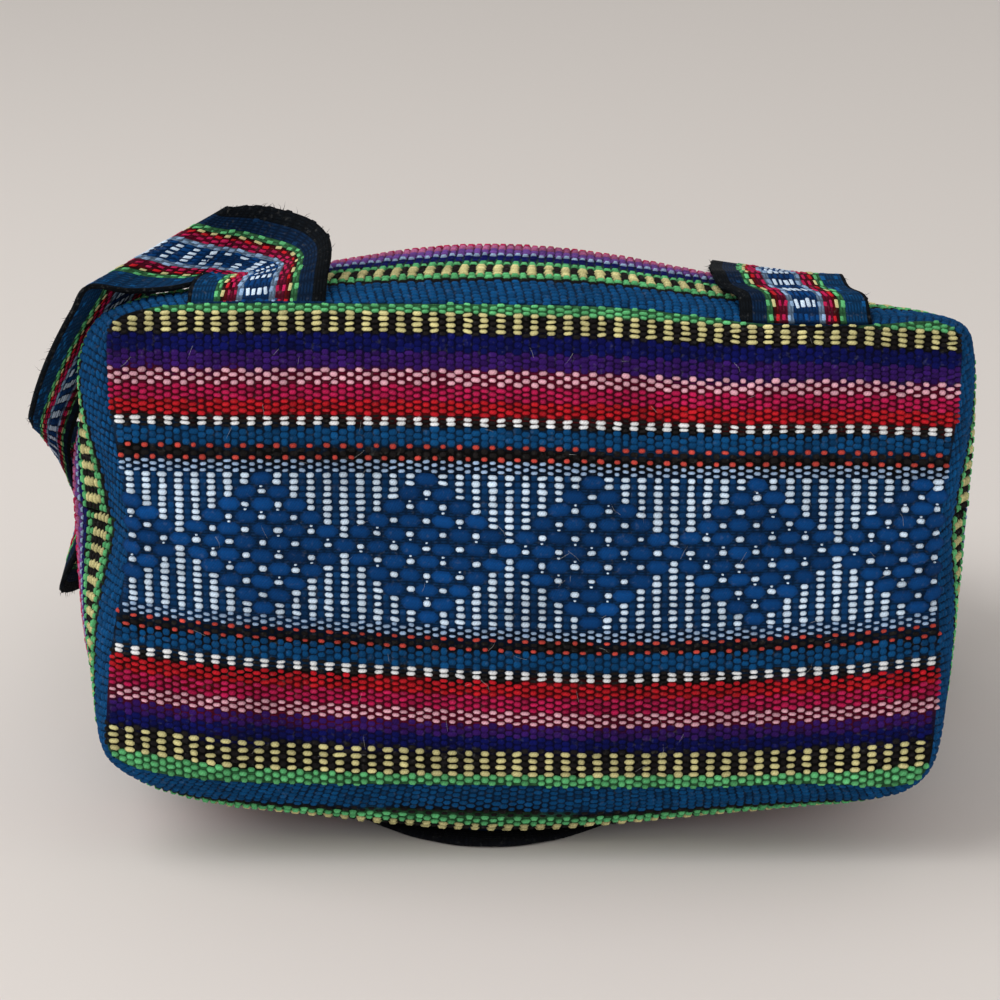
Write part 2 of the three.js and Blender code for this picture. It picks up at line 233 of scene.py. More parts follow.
def makeYarnFibre():
    # spun yarn: fibre streaks along each stitch, the turns of the twist, and uneven dye
    group, given, result = newGroup(
        "yarnFibre",
        (
            ("Colour", "NodeSocketColor", (0.5, 0.5, 0.5, 1)),
            ("Streaks", "NodeSocketFloat", 0.35),
            ("Twist", "NodeSocketFloat", 0.25),
            ("Uneven Dye", "NodeSocketFloat", 0.25),
        ),
        (("Colour", "NodeSocketColor"), ("Height", "NodeSocketFloat")),
    )
    flat = addNode(group, "ShaderNodeUVMap", uv_map="cloth")
    stretch = addNode(group, "ShaderNodeMapping")
    stretch.inputs["Scale"].default_value = yarnSpin["stretch"]
    stretch.inputs["Rotation"].default_value = (0, 0, yarnSpin["slant"])
    group.links.new(flat.outputs["UV"], stretch.inputs["Vector"])
    fibres = addNode(group, "ShaderNodeTexNoise")
    fibres.inputs["Scale"].default_value = yarnSpin["fibreScale"]
    fibres.inputs["Detail"].default_value = yarnSpin["fibreDetail"]
    group.links.new(stretch.outputs["Vector"], fibres.inputs["Vector"])
    lean = addNode(group, "ShaderNodeMapping")
    lean.inputs["Rotation"].default_value = (0, 0, yarnSpin["twistLean"])
    group.links.new(flat.outputs["UV"], lean.inputs["Vector"])
    turns = addNode(group, "ShaderNodeTexWave", wave_type="BANDS", bands_direction="X")
    turns.inputs["Scale"].default_value = yarnSpin["twistScale"]
    turns.inputs["Distortion"].default_value = yarnSpin["twistWander"]
    group.links.new(lean.outputs["Vector"], turns.inputs["Vector"])
    place = addNode(group, "ShaderNodeTexCoord")
    dye = addNode(group, "ShaderNodeTexNoise")
    dye.inputs["Scale"].default_value = yarnSpin["dyeScale"]
    dye.inputs["Detail"].default_value = yarnSpin["dyeDetail"]
    group.links.new(place.outputs["Object"], dye.inputs["Vector"])
    low = mathNode(group, "SUBTRACT", fibres.outputs["Fac"], 0.5)
    streak = mathNode(group, "MULTIPLY", low, given.outputs["Streaks"])
    turn = mathNode(group, "SUBTRACT", turns.outputs["Fac"], 0.5)
    turn = mathNode(group, "MULTIPLY", turn, given.outputs["Twist"])
    patch = mathNode(group, "SUBTRACT", dye.outputs["Fac"], 0.5)
    patch = mathNode(group, "MULTIPLY", patch, given.outputs["Uneven Dye"])
    total = mathNode(group, "ADD", mathNode(group, "ADD", streak, turn), patch)
    total = mathNode(group, "ADD", mathNode(group, "MULTIPLY", total, yarnSpin["strength"]), 1.0)
    shade = addNode(group, "ShaderNodeCombineColor")
    for label in ("Red", "Green", "Blue"):
        group.links.new(total, shade.inputs[label])
    mixed = tinted(group, "MULTIPLY", 1.0, given.outputs["Colour"], shade.outputs["Color"])
    group.links.new(mixed, result.inputs["Colour"])
    height = mathNode(group, "ADD", fibres.outputs["Fac"], turn)
    group.links.new(height, result.inputs["Height"])
    return group


lintSpecks = {
    "scale": 900,
    "detail": 5,
    "patchScale": 60,
    "from": 0.58,  # noise level where a speck begins
    "full": 0.8,
}


def makeLint():
    # pale lint and rubbed fibre ends caught on the cloth
    group, given, result = newGroup(
        "lint",
        (
            ("Colour", "NodeSocketColor", (0.5, 0.5, 0.5, 1)),
            ("Lint", "NodeSocketColor", (0.55, 0.55, 0.52, 1)),
            ("Amount", "NodeSocketFloat", 0.15),
        ),
        (("Colour", "NodeSocketColor"), ("Mask", "NodeSocketFloat")),
    )
    place = addNode(group, "ShaderNodeTexCoord")
    specks = addNode(group, "ShaderNodeTexNoise")
    specks.inputs["Scale"].default_value = lintSpecks["scale"]
    specks.inputs["Detail"].default_value = lintSpecks["detail"]
    group.links.new(place.outputs["Object"], specks.inputs["Vector"])
    patches = addNode(group, "ShaderNodeTexNoise")
    patches.inputs["Scale"].default_value = lintSpecks["patchScale"]
    group.links.new(place.outputs["Object"], patches.inputs["Vector"])
    sharp = addNode(group, "ShaderNodeMapRange")
    sharp.inputs["From Min"].default_value = lintSpecks["from"]
    sharp.inputs["From Max"].default_value = lintSpecks["full"]
    group.links.new(specks.outputs["Fac"], sharp.inputs["Value"])
    mask = mathNode(group, "MULTIPLY", sharp.outputs["Result"], patches.outputs["Fac"])
    mask = mathNode(group, "MULTIPLY", mask, given.outputs["Amount"])
    group.links.new(mask, result.inputs["Mask"])
    mixed = tinted(group, "MIX", mask, given.outputs["Colour"], given.outputs["Lint"])
    group.links.new(mixed, result.inputs["Colour"])
    return group


def makeWeaveReliefShade():
    # plain weave read from the flat cloth: over and under in turn, with painted shade darkening the colour
    # where the yarn goes under
    group, given, result = newGroup(
        "weaveReliefShade",
        (
            ("Colour", "NodeSocketColor", (0.5, 0.5, 0.5, 1)),
            ("Pick", "NodeSocketFloat", 2.07),
            ("Warp", "NodeSocketFloat", 0.79),
            ("Depth", "NodeSocketFloat", 0.6),
        ),
        (("Colour", "NodeSocketColor"), ("Height", "NodeSocketFloat")),
    )
    flat = addNode(group, "ShaderNodeUVMap", uv_map="cloth")
    split = addNode(group, "ShaderNodeSeparateXYZ")
    group.links.new(flat.outputs["UV"], split.inputs[0])
    waves = []
    for axis, label in (("X", "Pick"), ("Y", "Warp")):
        turn = mathNode(group, "DIVIDE", split.outputs[axis], given.outputs[label])
        waves.append(mathNode(group, "SINE", mathNode(group, "MULTIPLY", turn, math.pi)))
    cross = mathNode(group, "ABSOLUTE", mathNode(group, "MULTIPLY", *waves))
    dark = mathNode(group, "SUBTRACT", 1.0, given.outputs["Depth"])
    level = mathNode(group, "ADD", mathNode(group, "MULTIPLY", cross, given.outputs["Depth"]), dark)
    shade = addNode(group, "ShaderNodeCombineColor")
    for label in ("Red", "Green", "Blue"):
        group.links.new(level, shade.inputs[label])
    mixed = tinted(group, "MULTIPLY", 1.0, given.outputs["Colour"], shade.outputs["Color"])
    group.links.new(mixed, result.inputs["Colour"])
    group.links.new(cross, result.inputs["Height"])
    return group


shaderGroups = {"fibre": makeYarnFibre(), "lint": makeLint(), "weave": makeWeaveReliefShade()}


def placeGroup(tree, key, **values):
    node = addNode(tree, "ShaderNodeGroup", node_tree=shaderGroups[key])
    for label, value in values.items():
        node.inputs[label].default_value = value
    return node


clothFinish = {
    "roughness": 0.92,
    "gloss": 0.1,
    "streaks": 0.6,
    "twist": 0.1,
    "uneven": 0.5,
    "lint": 0.12,
    "bump": 0.5,
    "bumpDepth": 0.0004,
    "fibreShare": 0.3,  # of the relief, where the weave of the ground shows too
    "pick": 2.07,
    "warp": 0.79,
}


def clothMaterial(name, finish, ground=False):
    # yarn colours come with the mesh; the ground under the stitches also shows its weave, with painted shade
    # where the yarn goes under
    material = bpy.data.materials.new(name)
    material.use_nodes = True
    tree = material.node_tree
    shader = tree.nodes["Principled BSDF"]
    shader.inputs["Roughness"].default_value = finish["roughness"]
    shader.inputs["Specular IOR Level"].default_value = finish["gloss"]
    dyed = addNode(tree, "ShaderNodeVertexColor", layer_name="yarn")
    fibre = placeGroup(tree, "fibre", Streaks=finish["streaks"], Twist=finish["twist"])
    fibre.inputs["Uneven Dye"].default_value = finish["uneven"]
    tree.links.new(dyed.outputs["Color"], fibre.inputs["Colour"])
    lint = placeGroup(tree, "lint", Amount=finish["lint"])
    height = fibre.outputs["Height"]
    colour = fibre.outputs["Colour"]
    if ground:
        # painted shade in the hollows of the weave
        weave = placeGroup(tree, "weave", Pick=finish["pick"], Warp=finish["warp"])
        tree.links.new(colour, weave.inputs["Colour"])
        colour = weave.outputs["Colour"]
        fine = mathNode(tree, "MULTIPLY", height, finish["fibreShare"])
        height = mathNode(tree, "ADD", fine, weave.outputs["Height"])
    tree.links.new(colour, lint.inputs["Colour"])
    tree.links.new(lint.outputs["Colour"], shader.inputs["Base Color"])
    bump = addNode(tree, "ShaderNodeBump")
    bump.inputs["Strength"].default_value = finish["bump"]
    bump.inputs["Distance"].default_value = finish["bumpDepth"]
    tree.links.new(height, bump.inputs["Height"])
    tree.links.new(bump.outputs["Normal"], shader.inputs["Normal"])
    return material


# meshes straight from arrays
def meshPiece(name, points, faces, colours, flat, bake, material):
    faces = np.asarray(faces, np.int32)
    sides = faces.shape[1]
    mesh = bpy.data.meshes.new(name)
    mesh.vertices.add(len(points))
    mesh.vertices.foreach_set("co", inMetres(points).astype(np.float32).ravel())
    mesh.loops.add(faces.size)
    mesh.loops.foreach_set("vertex_index", faces.ravel())
    mesh.polygons.add(len(faces))
    mesh.polygons.foreach_set("loop_start", np.arange(0, faces.size, sides, dtype=np.int32))
    mesh.polygons.foreach_set("use_smooth", np.ones(len(faces), bool))
    mesh.update(calc_edges=True)
    dyed = mesh.color_attributes.new("yarn", "FLOAT_COLOR", "POINT")
    full = np.ones((len(points), 4), np.float32)
    full[:, :3] = colours
    dyed.data.foreach_set("color", full.ravel())
    corners = faces.ravel()
    for label, spots in (("cloth", flat), ("OFBake", bake)):
        if spots is None:
            continue
        layer = mesh.uv_layers.new(name=label)
        spots = np.asarray(spots, np.float32)
        spots = spots[corners] if len(spots) == len(points) else spots
        layer.data.foreach_set("uv", spots.ravel())
    mesh.materials.append(material)
    piece = bpy.data.objects.new(name, mesh)
    scene.collection.objects.link(piece)
    return piece


def unit(vectors):
    return vectors / np.maximum(np.linalg.norm(vectors, axis=-1, keepdims=True), 1e-9)


def surfaceOf(grid, across, along):
    # smooth lookup of place, directions and normal anywhere on a grid of points
    du = np.gradient(grid, axis=1)
    dv = np.gradient(grid, axis=0)
    layers = np.concatenate((grid, unit(du), unit(dv), unit(np.cross(du, dv))), axis=2)

    def at(s, t):
        col = np.clip(np.interp(s, across, np.arange(len(across))), 0, len(across) - 1.001)
        row = np.clip(np.interp(t, along, np.arange(len(along))), 0, len(along) - 1.001)
        i, j = col.astype(int), row.astype(int)
        a, b = (col - i)[:, None], (row - j)[:, None]
        near = layers[j, i] * (1 - a) + layers[j, i + 1] * a
        far = layers[j + 1, i] * (1 - a) + layers[j + 1, i + 1] * a
        found = near * (1 - b) + far * b
        return found[:, :3], unit(found[:, 3:6]), unit(found[:, 6:9]), unit(found[:, 9:12])

    return at


# one stitch is a small pillow of yarn: rim sunk into the cloth, crown on top
def pillow(fine):
    if fine:
        rim = [(1, -0.34), (1, 0.34), (0.52, 1), (-0.52, 1), (-1, 0.34), (-1, -0.34), (-0.52, -1), (0.52, -1)]
        top = [(0.5, -0.4), (0.5, 0.4), (-0.5, 0.4), (-0.5, -0.4)]
        sides = [(0, 1, 9), (0, 9, 8), (1, 2, 9), (2, 3, 10), (2, 10, 9), (3, 4, 10)]
        sides += [(4, 5, 11), (4, 11, 10), (5, 6, 11), (6, 7, 8), (6, 8, 11), (7, 0, 8)]
        caps = [(8, 9, 10), (8, 10, 11)]
    else:
        rim = [(1, 0), (0.5, 1), (-0.5, 1), (-1, 0), (-0.5, -1), (0.5, -1)]
        top = [(0.42, 0), (-0.42, 0)]
        sides = [(0, 1, 6), (1, 2, 7), (1, 7, 6), (2, 3, 7), (3, 4, 7), (4, 5, 6), (4, 6, 7), (5, 0, 6)]
        caps = []
    shape = [(x, y, 0.0) for x, y in rim] + [(x, y, 1.0) for x, y in top]
    return np.array(shape), np.array(sides + caps)


weaving = {
    "pick": 2.07,  # mm from one pick to the next, along the warps
    "sunk": 0.55,  # how deep the rims of the stitches lie under the face of the cloth
    "groundSunk": 0.45,  # and the ground between them
    "crown": 0.73,  # from the rim of a stitch to its top
    "long": 0.52,  # half length, in picks
    "wide": 0.76,  # half width, in warps
    # width, length and height of the stitches of some yarns against the others
    "broader": {
        "z": 1.3, "a": 1.2, "u": 1.32, "p": 0.8, "w": 1.22, "y": 1.06, "b": 1.32, "n": 1.36, "v": 1.32,
        "m": 0.85, "t": 1.3, "s": 0.8, "o": 0.82, "g": 1.1, "c": 1.02, "r": 1.02, "x": 1.3, "d": 1.3,
    },
    "longer": {"x": 1.25, "y": 1.18, "k": 0.92, "o": 0.8, "w": 1.12, "s": 0.82, "p": 0.96},
    "flatter": {
        "z": 0.7, "k": 0.7, "n": 0.55, "v": 0.6, "u": 0.6, "m": 0.7, "t": 0.8, "b": 0.65, "q": 0.6,
    },
    "under": {"p": "c", "w": "k", "y": "k", "s": "q", "o": "k", "x": "d"},  # what shows between pale stitches
    # painted shade: tone at the edge of a stitch, and of the cloth between stitches, darker where the yarn
    # sinks
    "rim": {
        "z": 0.76, "n": 0.8, "v": 0.78, "u": 0.78, "b": 0.72, "t": 0.72, "m": 0.8, "q": 0.7, "g": 0.42,
    },
    "plainRimShade": 0.5,
    "ground": {
        "z": 0.6, "a": 0.5, "n": 0.6, "v": 0.5, "u": 0.5, "f": 0.5, "b": 0.5, "t": 0.5, "g": 0.28, "m": 0.7,
        "x": 0.6, "d": 0.6,
    },
    "plainGroundShade": 0.22,
    "shadeJitter": 0.17,
    "shadeRange": (0.55, 1.5),
    "steadyPale": 0.8,  # how much less the shade of white yarn varies
    "sizeJitter": 0.1,
    "steadyFloats": 0.4,  # share of that in the long floats
    "turnJitter": 0.09,
    "placeJitter": 0.07,
    "bakeMargin": 0.01,
    "bakeLong": 0.9,  # stitches are baked a little smaller, clear of their neighbours
    "bakeWide": 0.8,
}


def perYarn(key, letters, plain=1.0):
    return np.array([weaving[key].get(letter, plain) for letter in letters])


def layStitches(name, at, stitches, span, material, fine=True, flip=False):
    # stitches: s, t, half length, half width, height factor, edge tone (painted shade at the rim),
    # pointedness and colour of each
    count = len(stitches["s"])
    shift = draws.normal(0, weaving["placeJitter"], (2, count))
    s = stitches["s"] + shift[0] * stitches["long"]
    t = stitches["t"] + shift[1] * stitches["wide"]
    spot, du, dv, normal = at(s, t)
    turn = draws.normal(0, weaving["turnJitter"], count)[:, None]
    du, dv = unit(du + dv * turn), unit(dv - du * turn)
    if flip:
        normal = -normal
    steady = np.where(stitches["point"] > 0, weaving["steadyFloats"], 1.0)
    grow = 1 + draws.normal(0, weaving["sizeJitter"], (count, 3)) * steady[:, None]
    shape, faces = pillow(fine)
    ends = np.abs(shape[:, 0]) == 1
    x = shape[None, :, 0] * (stitches["long"] * grow[:, 0])[:, None]
    y = shape[None, :, 1] * (stitches["wide"] * grow[:, 1])[:, None]
    y[:, ends] *= 1 - stitches["point"][:, None]
    rise = weaving["crown"] * stitches["high"] * grow[:, 2]
    z = shape[None, :, 2] * rise[:, None] - weaving["sunk"]
    points = spot[:, None] + du[:, None] * x[..., None] + dv[:, None] * y[..., None]
    points = points + normal[:, None] * z[..., None]
    uneven = weaving["shadeJitter"] * (1 - weaving["steadyPale"] * stitches["colour"].mean(axis=1))
    shade = np.clip(1 + draws.normal(0, 1, count) * uneven, *weaving["shadeRange"])
    dyed = np.repeat((stitches["colour"] * shade[:, None])[:, None], len(shape), axis=1)
    # painted shade: each stitch darkens from its crown down to its rim by the edge tone of its yarn
    edge = stitches["rim"][:, None, None]
    dyed = dyed * (edge + (1 - edge) * shape[None, :, 2, None])
    if flip:
        faces = faces[:, ::-1]
    faces = faces[None] + (np.arange(count) * len(shape))[:, None, None]
    flat = np.stack((s[:, None] + x, t[:, None] + y), axis=-1)
    bakeS = stitches["s"][:, None] + x * weaving["bakeLong"]
    bakeT = stitches["t"][:, None] + y * weaving["bakeWide"]
    low, high = np.array(span)
    margin = weaving["bakeMargin"]
    bake = margin + (1 - 2 * margin) * (np.stack((bakeS, bakeT), axis=-1) - low) / (high - low)
    bake = np.clip(bake.reshape(-1, 2), margin / 10, 1 - margin / 10)
    dyed, flat = dyed.reshape(-1, 3), flat.reshape(-1, 2)
    return meshPiece(name, points.reshape(-1, 3), faces.reshape(-1, 3), dyed, flat, bake, material)


strayFibre = {
    "bend": 0.4,  # sideways, in lengths
    "knee": 0.55,  # where it bends, in lengths
    "kneeBend": 0.25,  # share of the bend at the knee
    "kneeThick": 0.8,
}


def looseFibres(name, roots, ways, colours, thick, material):
    # stray hairs: thin, three-sided, bent once and ending in a point
    count = len(roots)
    side = unit(np.cross(ways, draws.normal(0, 1, (count, 3))))
    up = unit(np.cross(ways, side))
    bend = side * (draws.normal(0, strayFibre["bend"], count) * np.linalg.norm(ways, axis=1))[:, None]
    turns = np.arange(3)[None, :, None] * 2 * math.pi / 3
    around = (side[:, None] * np.cos(turns) + up[:, None] * np.sin(turns)) * thick
    foot = roots[:, None] + around
    knee = roots + ways * strayFibre["knee"] + bend * strayFibre["kneeBend"]
    knee = knee[:, None] + around * strayFibre["kneeThick"]
    tip = (roots + ways + bend)[:, None]
    points = np.concatenate((foot, knee, tip), axis=1).reshape(-1, 3)
    sides = [(0, 1, 4), (0, 4, 3), (1, 2, 5), (1, 5, 4), (2, 0, 3), (2, 3, 5)]
    faces = np.array([(2, 1, 0)] + sides + [(3, 4, 6), (4, 5, 6), (5, 3, 6)])
    each = len(points) // count
    faces = faces[None] + (np.arange(count) * each)[:, None, None]
    dyed = np.repeat(colours, each, axis=0)
    return meshPiece(name, points, faces.reshape(-1, 3), dyed, points[:, :2], None, material)


borderFuzz = {
    "lean": 0.6,
    "reach": 2.4,  # mm
    "shortest": 0.5,  # its square is the share of that in the shortest fibre
    "rootDepth": 0.2,
    "shade": (0.6, 1.8),
    "thick": 0.07,
}


def edgeFibres(name, at, length, edges, count, material):
    # short fibres standing out from the borders of a band; edges: place across, side and yarn of each border
    roots, ways, dyed = [], [], []
    for place, side, yarn in edges:
        spot, du, dv, normal = at(draws.uniform(0, length, count), np.full(count, place))
        lean = draws.normal(0, borderFuzz["lean"], (2, count, 1))
        reach = draws.uniform(borderFuzz["shortest"], 1.0, (count, 1)) ** 2 * borderFuzz["reach"]
        roots.append(spot - dv * side * borderFuzz["rootDepth"])
        ways.append(unit(dv * side + normal * lean[0] + du * lean[1]) * reach)
        dyed.append(yarnLight[yarn] * draws.uniform(*borderFuzz["shade"], (count, 1)))
    return looseFibres(name, *map(np.concatenate, (roots, ways, dyed)), borderFuzz["thick"], material)


def warpRows(stripes):
    # letters, places and pitch of the warps, from stripes of (letters, mm); a stripe of diamonds is left free
    letters, places, pitch, fields, at = [], [], [], [], 0.0
    for stripe, width in stripes:
        if stripe == "diamonds":
            fields.append((at, width))
        else:
            step = width / len(stripe)
            letters += list(stripe)
            places += [at + (k + 0.5) * step for k in range(len(stripe))]
            pitch += [step] * len(stripe)
        at += width
    return {
        "letters": np.array(letters),
        "t": np.array(places),
        "pitch": np.array(pitch),
        "fields": fields,
        "width": at,
    }


def plainWeave(rows, length, pick=None):
    # a stitch shows wherever a warp passes over a pick
    picks = int(round(length / (pick or weaving["pick"])))
    pick = length / picks
    i, j = np.meshgrid(np.arange(picks), np.arange(len(rows["letters"])), indexing="ij")
    shown = (i + j) % 2 == 0
    i, j = i[shown], j[shown]
    letters = rows["letters"][j]
    return {
        "s": (i + 0.5) * pick,
        "t": rows["t"][j],
        "long": weaving["long"] * pick * perYarn("longer", letters),
        "wide": weaving["wide"] * rows["pitch"][j] * perYarn("broader", letters),
        "high": perYarn("flatter", letters),
        "rim": perYarn("rim", letters, weaving["plainRimShade"]),
        "point": np.zeros(len(letters)),
        "colour": coloursOf(letters),
    }


diamonds = {
    "repeat": 10,  # columns from tip to tip
    "rows": 11,
    "ground": "q",
    "float": "d",
    "dot": "x",
    # painted shade on the cloth between the diamonds
    "groundShade": 0.75,
    # half length in picks, half width in rows, height and pointedness of the stitches
    "groundSize": (0.46, 0.25, 0.5),
    "floatSize": (1.5, 0.5, 0.8, 0.5),
    "dotSize": (0.5, 0.2, 1.05),
    "barSize": (0.56, 0.195, 1.0),
    "speckSize": (0.19, 0.075, 0.9),
    "levels": (0.25, 0.75),  # of the two warps in a row
    "speckChance": 0.6,
    "speckSide": 0.4,
}


def diamondField(length, start, height, firstTip):
    # pick-up floats make the diamonds, with white warps showing as bars outside and dots inside
    picks = int(round(length / weaving["pick"]))
    pick = length / picks
    rows = diamonds["rows"]
    step = height / rows
    reach = diamonds["repeat"] // 2
    found = {key: [] for key in ("s", "t", "long", "wide", "high", "point", "letter")}

    def add(i, level, letter, long, wide, high, point=0.0):
        place = ((i + 0.5) * pick, start + level * step)
        for key, value in zip(found, (*place, long * pick, wide * step, high, point, letter)):
            found[key].append(value)

    def fromTip(column):
        return (column - firstTip + reach) % diamonds["repeat"] - reach

    def isFloat(row, column):
        k = fromTip(column)
        return abs(k) <= min(row, rows - 1 - row) and (row + k) % 2 == 0

    for row in range(rows):
        for i in range(picks):
            column = i // 2
            if i % 2:
                if isFloat(row, column) or isFloat(row, column + 1):
                    continue
                for level in diamonds["levels"]:
                    add(i, row + level, diamonds["ground"], *diamonds["groundSize"])
                continue
            k = fromTip(column)
            inside = abs(k) <= min(row, rows - 1 - row)
            if isFloat(row, column):
                add(i, row + 0.5, diamonds["float"], *diamonds["floatSize"])
            elif inside:
                add(i, row + 0.5, diamonds["dot"], *diamonds["dotSize"])
                if draws.random() < diamonds["speckChance"]:
                    side = diamonds["speckSide"] * (1 if draws.random() < 0.5 else -1)
                    add(i, row + 0.5 + side, diamonds["dot"], *diamonds["speckSize"])
            else:
                for level in diamonds["levels"]:
                    add(i, row + level, diamonds["dot"], *diamonds["barSize"])
    letters = found.pop("letter")
    field = {key: np.array(values) for key, values in found.items()}
    field["rim"] = perYarn("rim", letters, weaving["plainRimShade"])
    field["colour"] = coloursOf(letters)
    return field


def joined(*parts):
    return {key: np.concatenate([part[key] for part in parts]) for key in parts[0]}


def only(stitches, keep):
    return {key: values[keep] for key, values in stitches.items()}


def raisedBy(at, lift):
    def raised(s, t):
        spot, du, dv, normal = at(s, t)
        return spot + normal * lift, du, dv, normal

    return raised


def shadedGroundColours(rows, t):
    # colour of the cloth under the stitches at a place t, darkened as painted shade between the stitches
    lit = coloursOf([weaving["under"].get(letter, letter) for letter in rows["letters"]])
    # painted shade: the yarn under the stitches, darkened by the ground tone of each yarn
    lit = lit * perYarn("ground", rows["letters"], weaving["plainGroundShade"])[:, None]
    near = np.abs(np.asarray(t)[..., None] - rows["t"]).argmin(axis=-1)
    tone = lit[near]
    for begin, width in rows["fields"]:
        inside = (t > begin) & (t < begin + width)
        tone[inside] = yarnLight[diamonds["ground"]] * diamonds["groundShade"]
    return tone


bakeLayout = {  # face and back side by side, the edge in a strip above them
    "size": (0.47, 0.94),
    "face": (0.01, 0.01),
    "back": (0.51, 0.01),
    "edge": (0.985, 0.965),
    "edgeRun": (0.01, 0.98),
}


# closed cloth from a grid: face raised by lift, back sunk by drop, edges closed
def clothSheet(name, grid, lift, drop, flat, colours, material):
    rows, across = grid.shape[:2]
    normal = unit(np.cross(np.gradient(grid, axis=1), np.gradient(grid, axis=0)))
    lift = np.broadcast_to(np.asarray(lift, float).reshape(-1, 1, 1), (rows, 1, 1))
    drop = np.broadcast_to(np.asarray(drop, float).reshape(-1, 1, 1), (rows, 1, 1))
    face = grid + normal * lift
    back = grid - normal * drop
    points = np.concatenate((face.reshape(-1, 3), back.reshape(-1, 3)))
    index = np.arange(rows * across).reshape(rows, across)
    a, b, c, d = index[:-1, :-1], index[:-1, 1:], index[1:, 1:], index[1:, :-1]
    quads = [np.stack((a, b, c, d), -1).reshape(-1, 4)]
    shift = rows * across
    quads.append(np.stack((a, d, c, b), -1).reshape(-1, 4) + shift)
    ring = np.concatenate((index[0, :-1], index[:-1, -1], index[-1, :0:-1], index[:0:-1, 0]))
    after = np.roll(ring, -1)
    quads.append(np.stack((ring, ring + shift, after + shift, after), -1))
    faces = np.concatenate(quads)
    spots = np.concatenate((flat.reshape(-1, 2),) * 2)
    low, high = flat.reshape(-1, 2).min(0), flat.reshape(-1, 2).max(0)
    place = (flat.reshape(-1, 2) - low) / (high - low)
    place = place * bakeLayout["size"]
    bake = np.concatenate((place + bakeLayout["face"], place + bakeLayout["back"]))
    bake = bake[faces[: 2 * a.size].ravel()]
    walk = np.linspace(*bakeLayout["edgeRun"], len(ring) + 1)
    upper, lower = (np.full(len(ring), level) for level in bakeLayout["edge"])
    corners = ((walk[:-1], upper), (walk[:-1], lower), (walk[1:], lower), (walk[1:], upper))
    edge = np.stack([np.stack(corner, -1) for corner in corners], 1).reshape(-1, 2)
    dyed = np.concatenate((colours.reshape(-1, 3),) * 2)
    return meshPiece(name, points, faces, dyed, spots, np.concatenate((bake, edge)), material)


def addPiece(piece, node=None):
    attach(piece, "root")
    if node:
        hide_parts(node)
    return piece


# smooth curve through a column of values
def curveThrough(values, place):
    values = np.asarray(values, float)
    span = np.clip(np.floor(place).astype(int), 0, len(values) - 2)
    t = place - span
    ends = ([2 * values[0] - values[1]], values, [2 * values[-1] - values[-2]])
    a, b, c, d = (np.concatenate(ends)[span + k] for k in range(4))
    slope, nextSlope, lift = (c - a) / 2, (d - b) / 2, c - b
    return b + t * (slope + t * (3 * lift - 2 * slope - nextSlope + t * (slope + nextSlope - 2 * lift)))


def bell(x, at, width):
    return np.exp(-(((x - at) / width) ** 2))


# sections of the wall, from the base seam to the mouth
bag = {
    "out": (0, 4, 10, 20, 40, 80, 140, 200, 250),
    "half": (106.5, 109.5, 112, 115.2, 118, 117.7, 117, 115, 112),
    "shift": (0, 0, -0.6, -2, -3, -2, 0, 0, 0),
    "slump": (-4, -4.2, -4.4, -4, -4, -2, 0, 0, 0),
    "tuck": (0, 0.5, 1.5, 4, 6, 1.5, 0, 0, 0),
    "low": (21.8, 16.8, 11.6, 8.4, 4.6, 2.8, 2.8, 2.8, 2.8),
    "high": (148.9, 149.4, 149.4, 148.6, 145, 127, 98, 71, 52),
    "fold": (89, 90, 91, 90, 88, 76, 57, 39, 28),
    "spread": (26, 22, 18, 14, 12, 13, 13, 10, 8),
    "left": (4.2, 4.5, 4, 1.5, 1, 16, 31, 36, 38),
    "right": (4, 4, 3.5, 1, 2, 13, 29, 36, 38),
    "upper": (26, 20, 11, 5.5, 3.6, 3.2, 3.4, 4, 4),
    "lower": (30, 16, 8, 5, 5, 4.6, 4, 4, 4),
    "crown": (0, 1.3, 3.4, 6, 9.9, 9, 6, 3, 0),
    "belly": (0, 2, 6, 5.4, 1.4, 0, 0, 0, 0),
    "rise": (7, 7.5, 8, 7, 3, 1, 0, 0, 0),
    "hollow": (0, -1, -2.2, 1.5, 8.5, 4, 0, 0, 0),
}
crownBell = (-8, 58)  # at, width
bellyBell = (-5, 50)
hollowBell = (38, 16)  # height above the crease, spread
topDips = ((56, 24, 2.2), (110, 62, 6.2), (-112, 16, 3.2))  # at, width, depth
lowDrops = ((32, 40, 1), (104, 18, 5.5))
cornerPull = (100, 12, 1.8)  # at, width, height: the seam is drawn up at the right corner
cornerPower = 6  # how closely the lift of the underside keeps to its corners
seamFade = 30  # mm from the seam over which dips and drops fade
cornerFade = 5
hollowFade = 40  # mm from the middle of the bag over which the hollow sets in
bagLength = 250
loopSamples = 721


def dents(x, rows):
    return sum(depth * bell(x, at, width) for at, width, depth in rows)


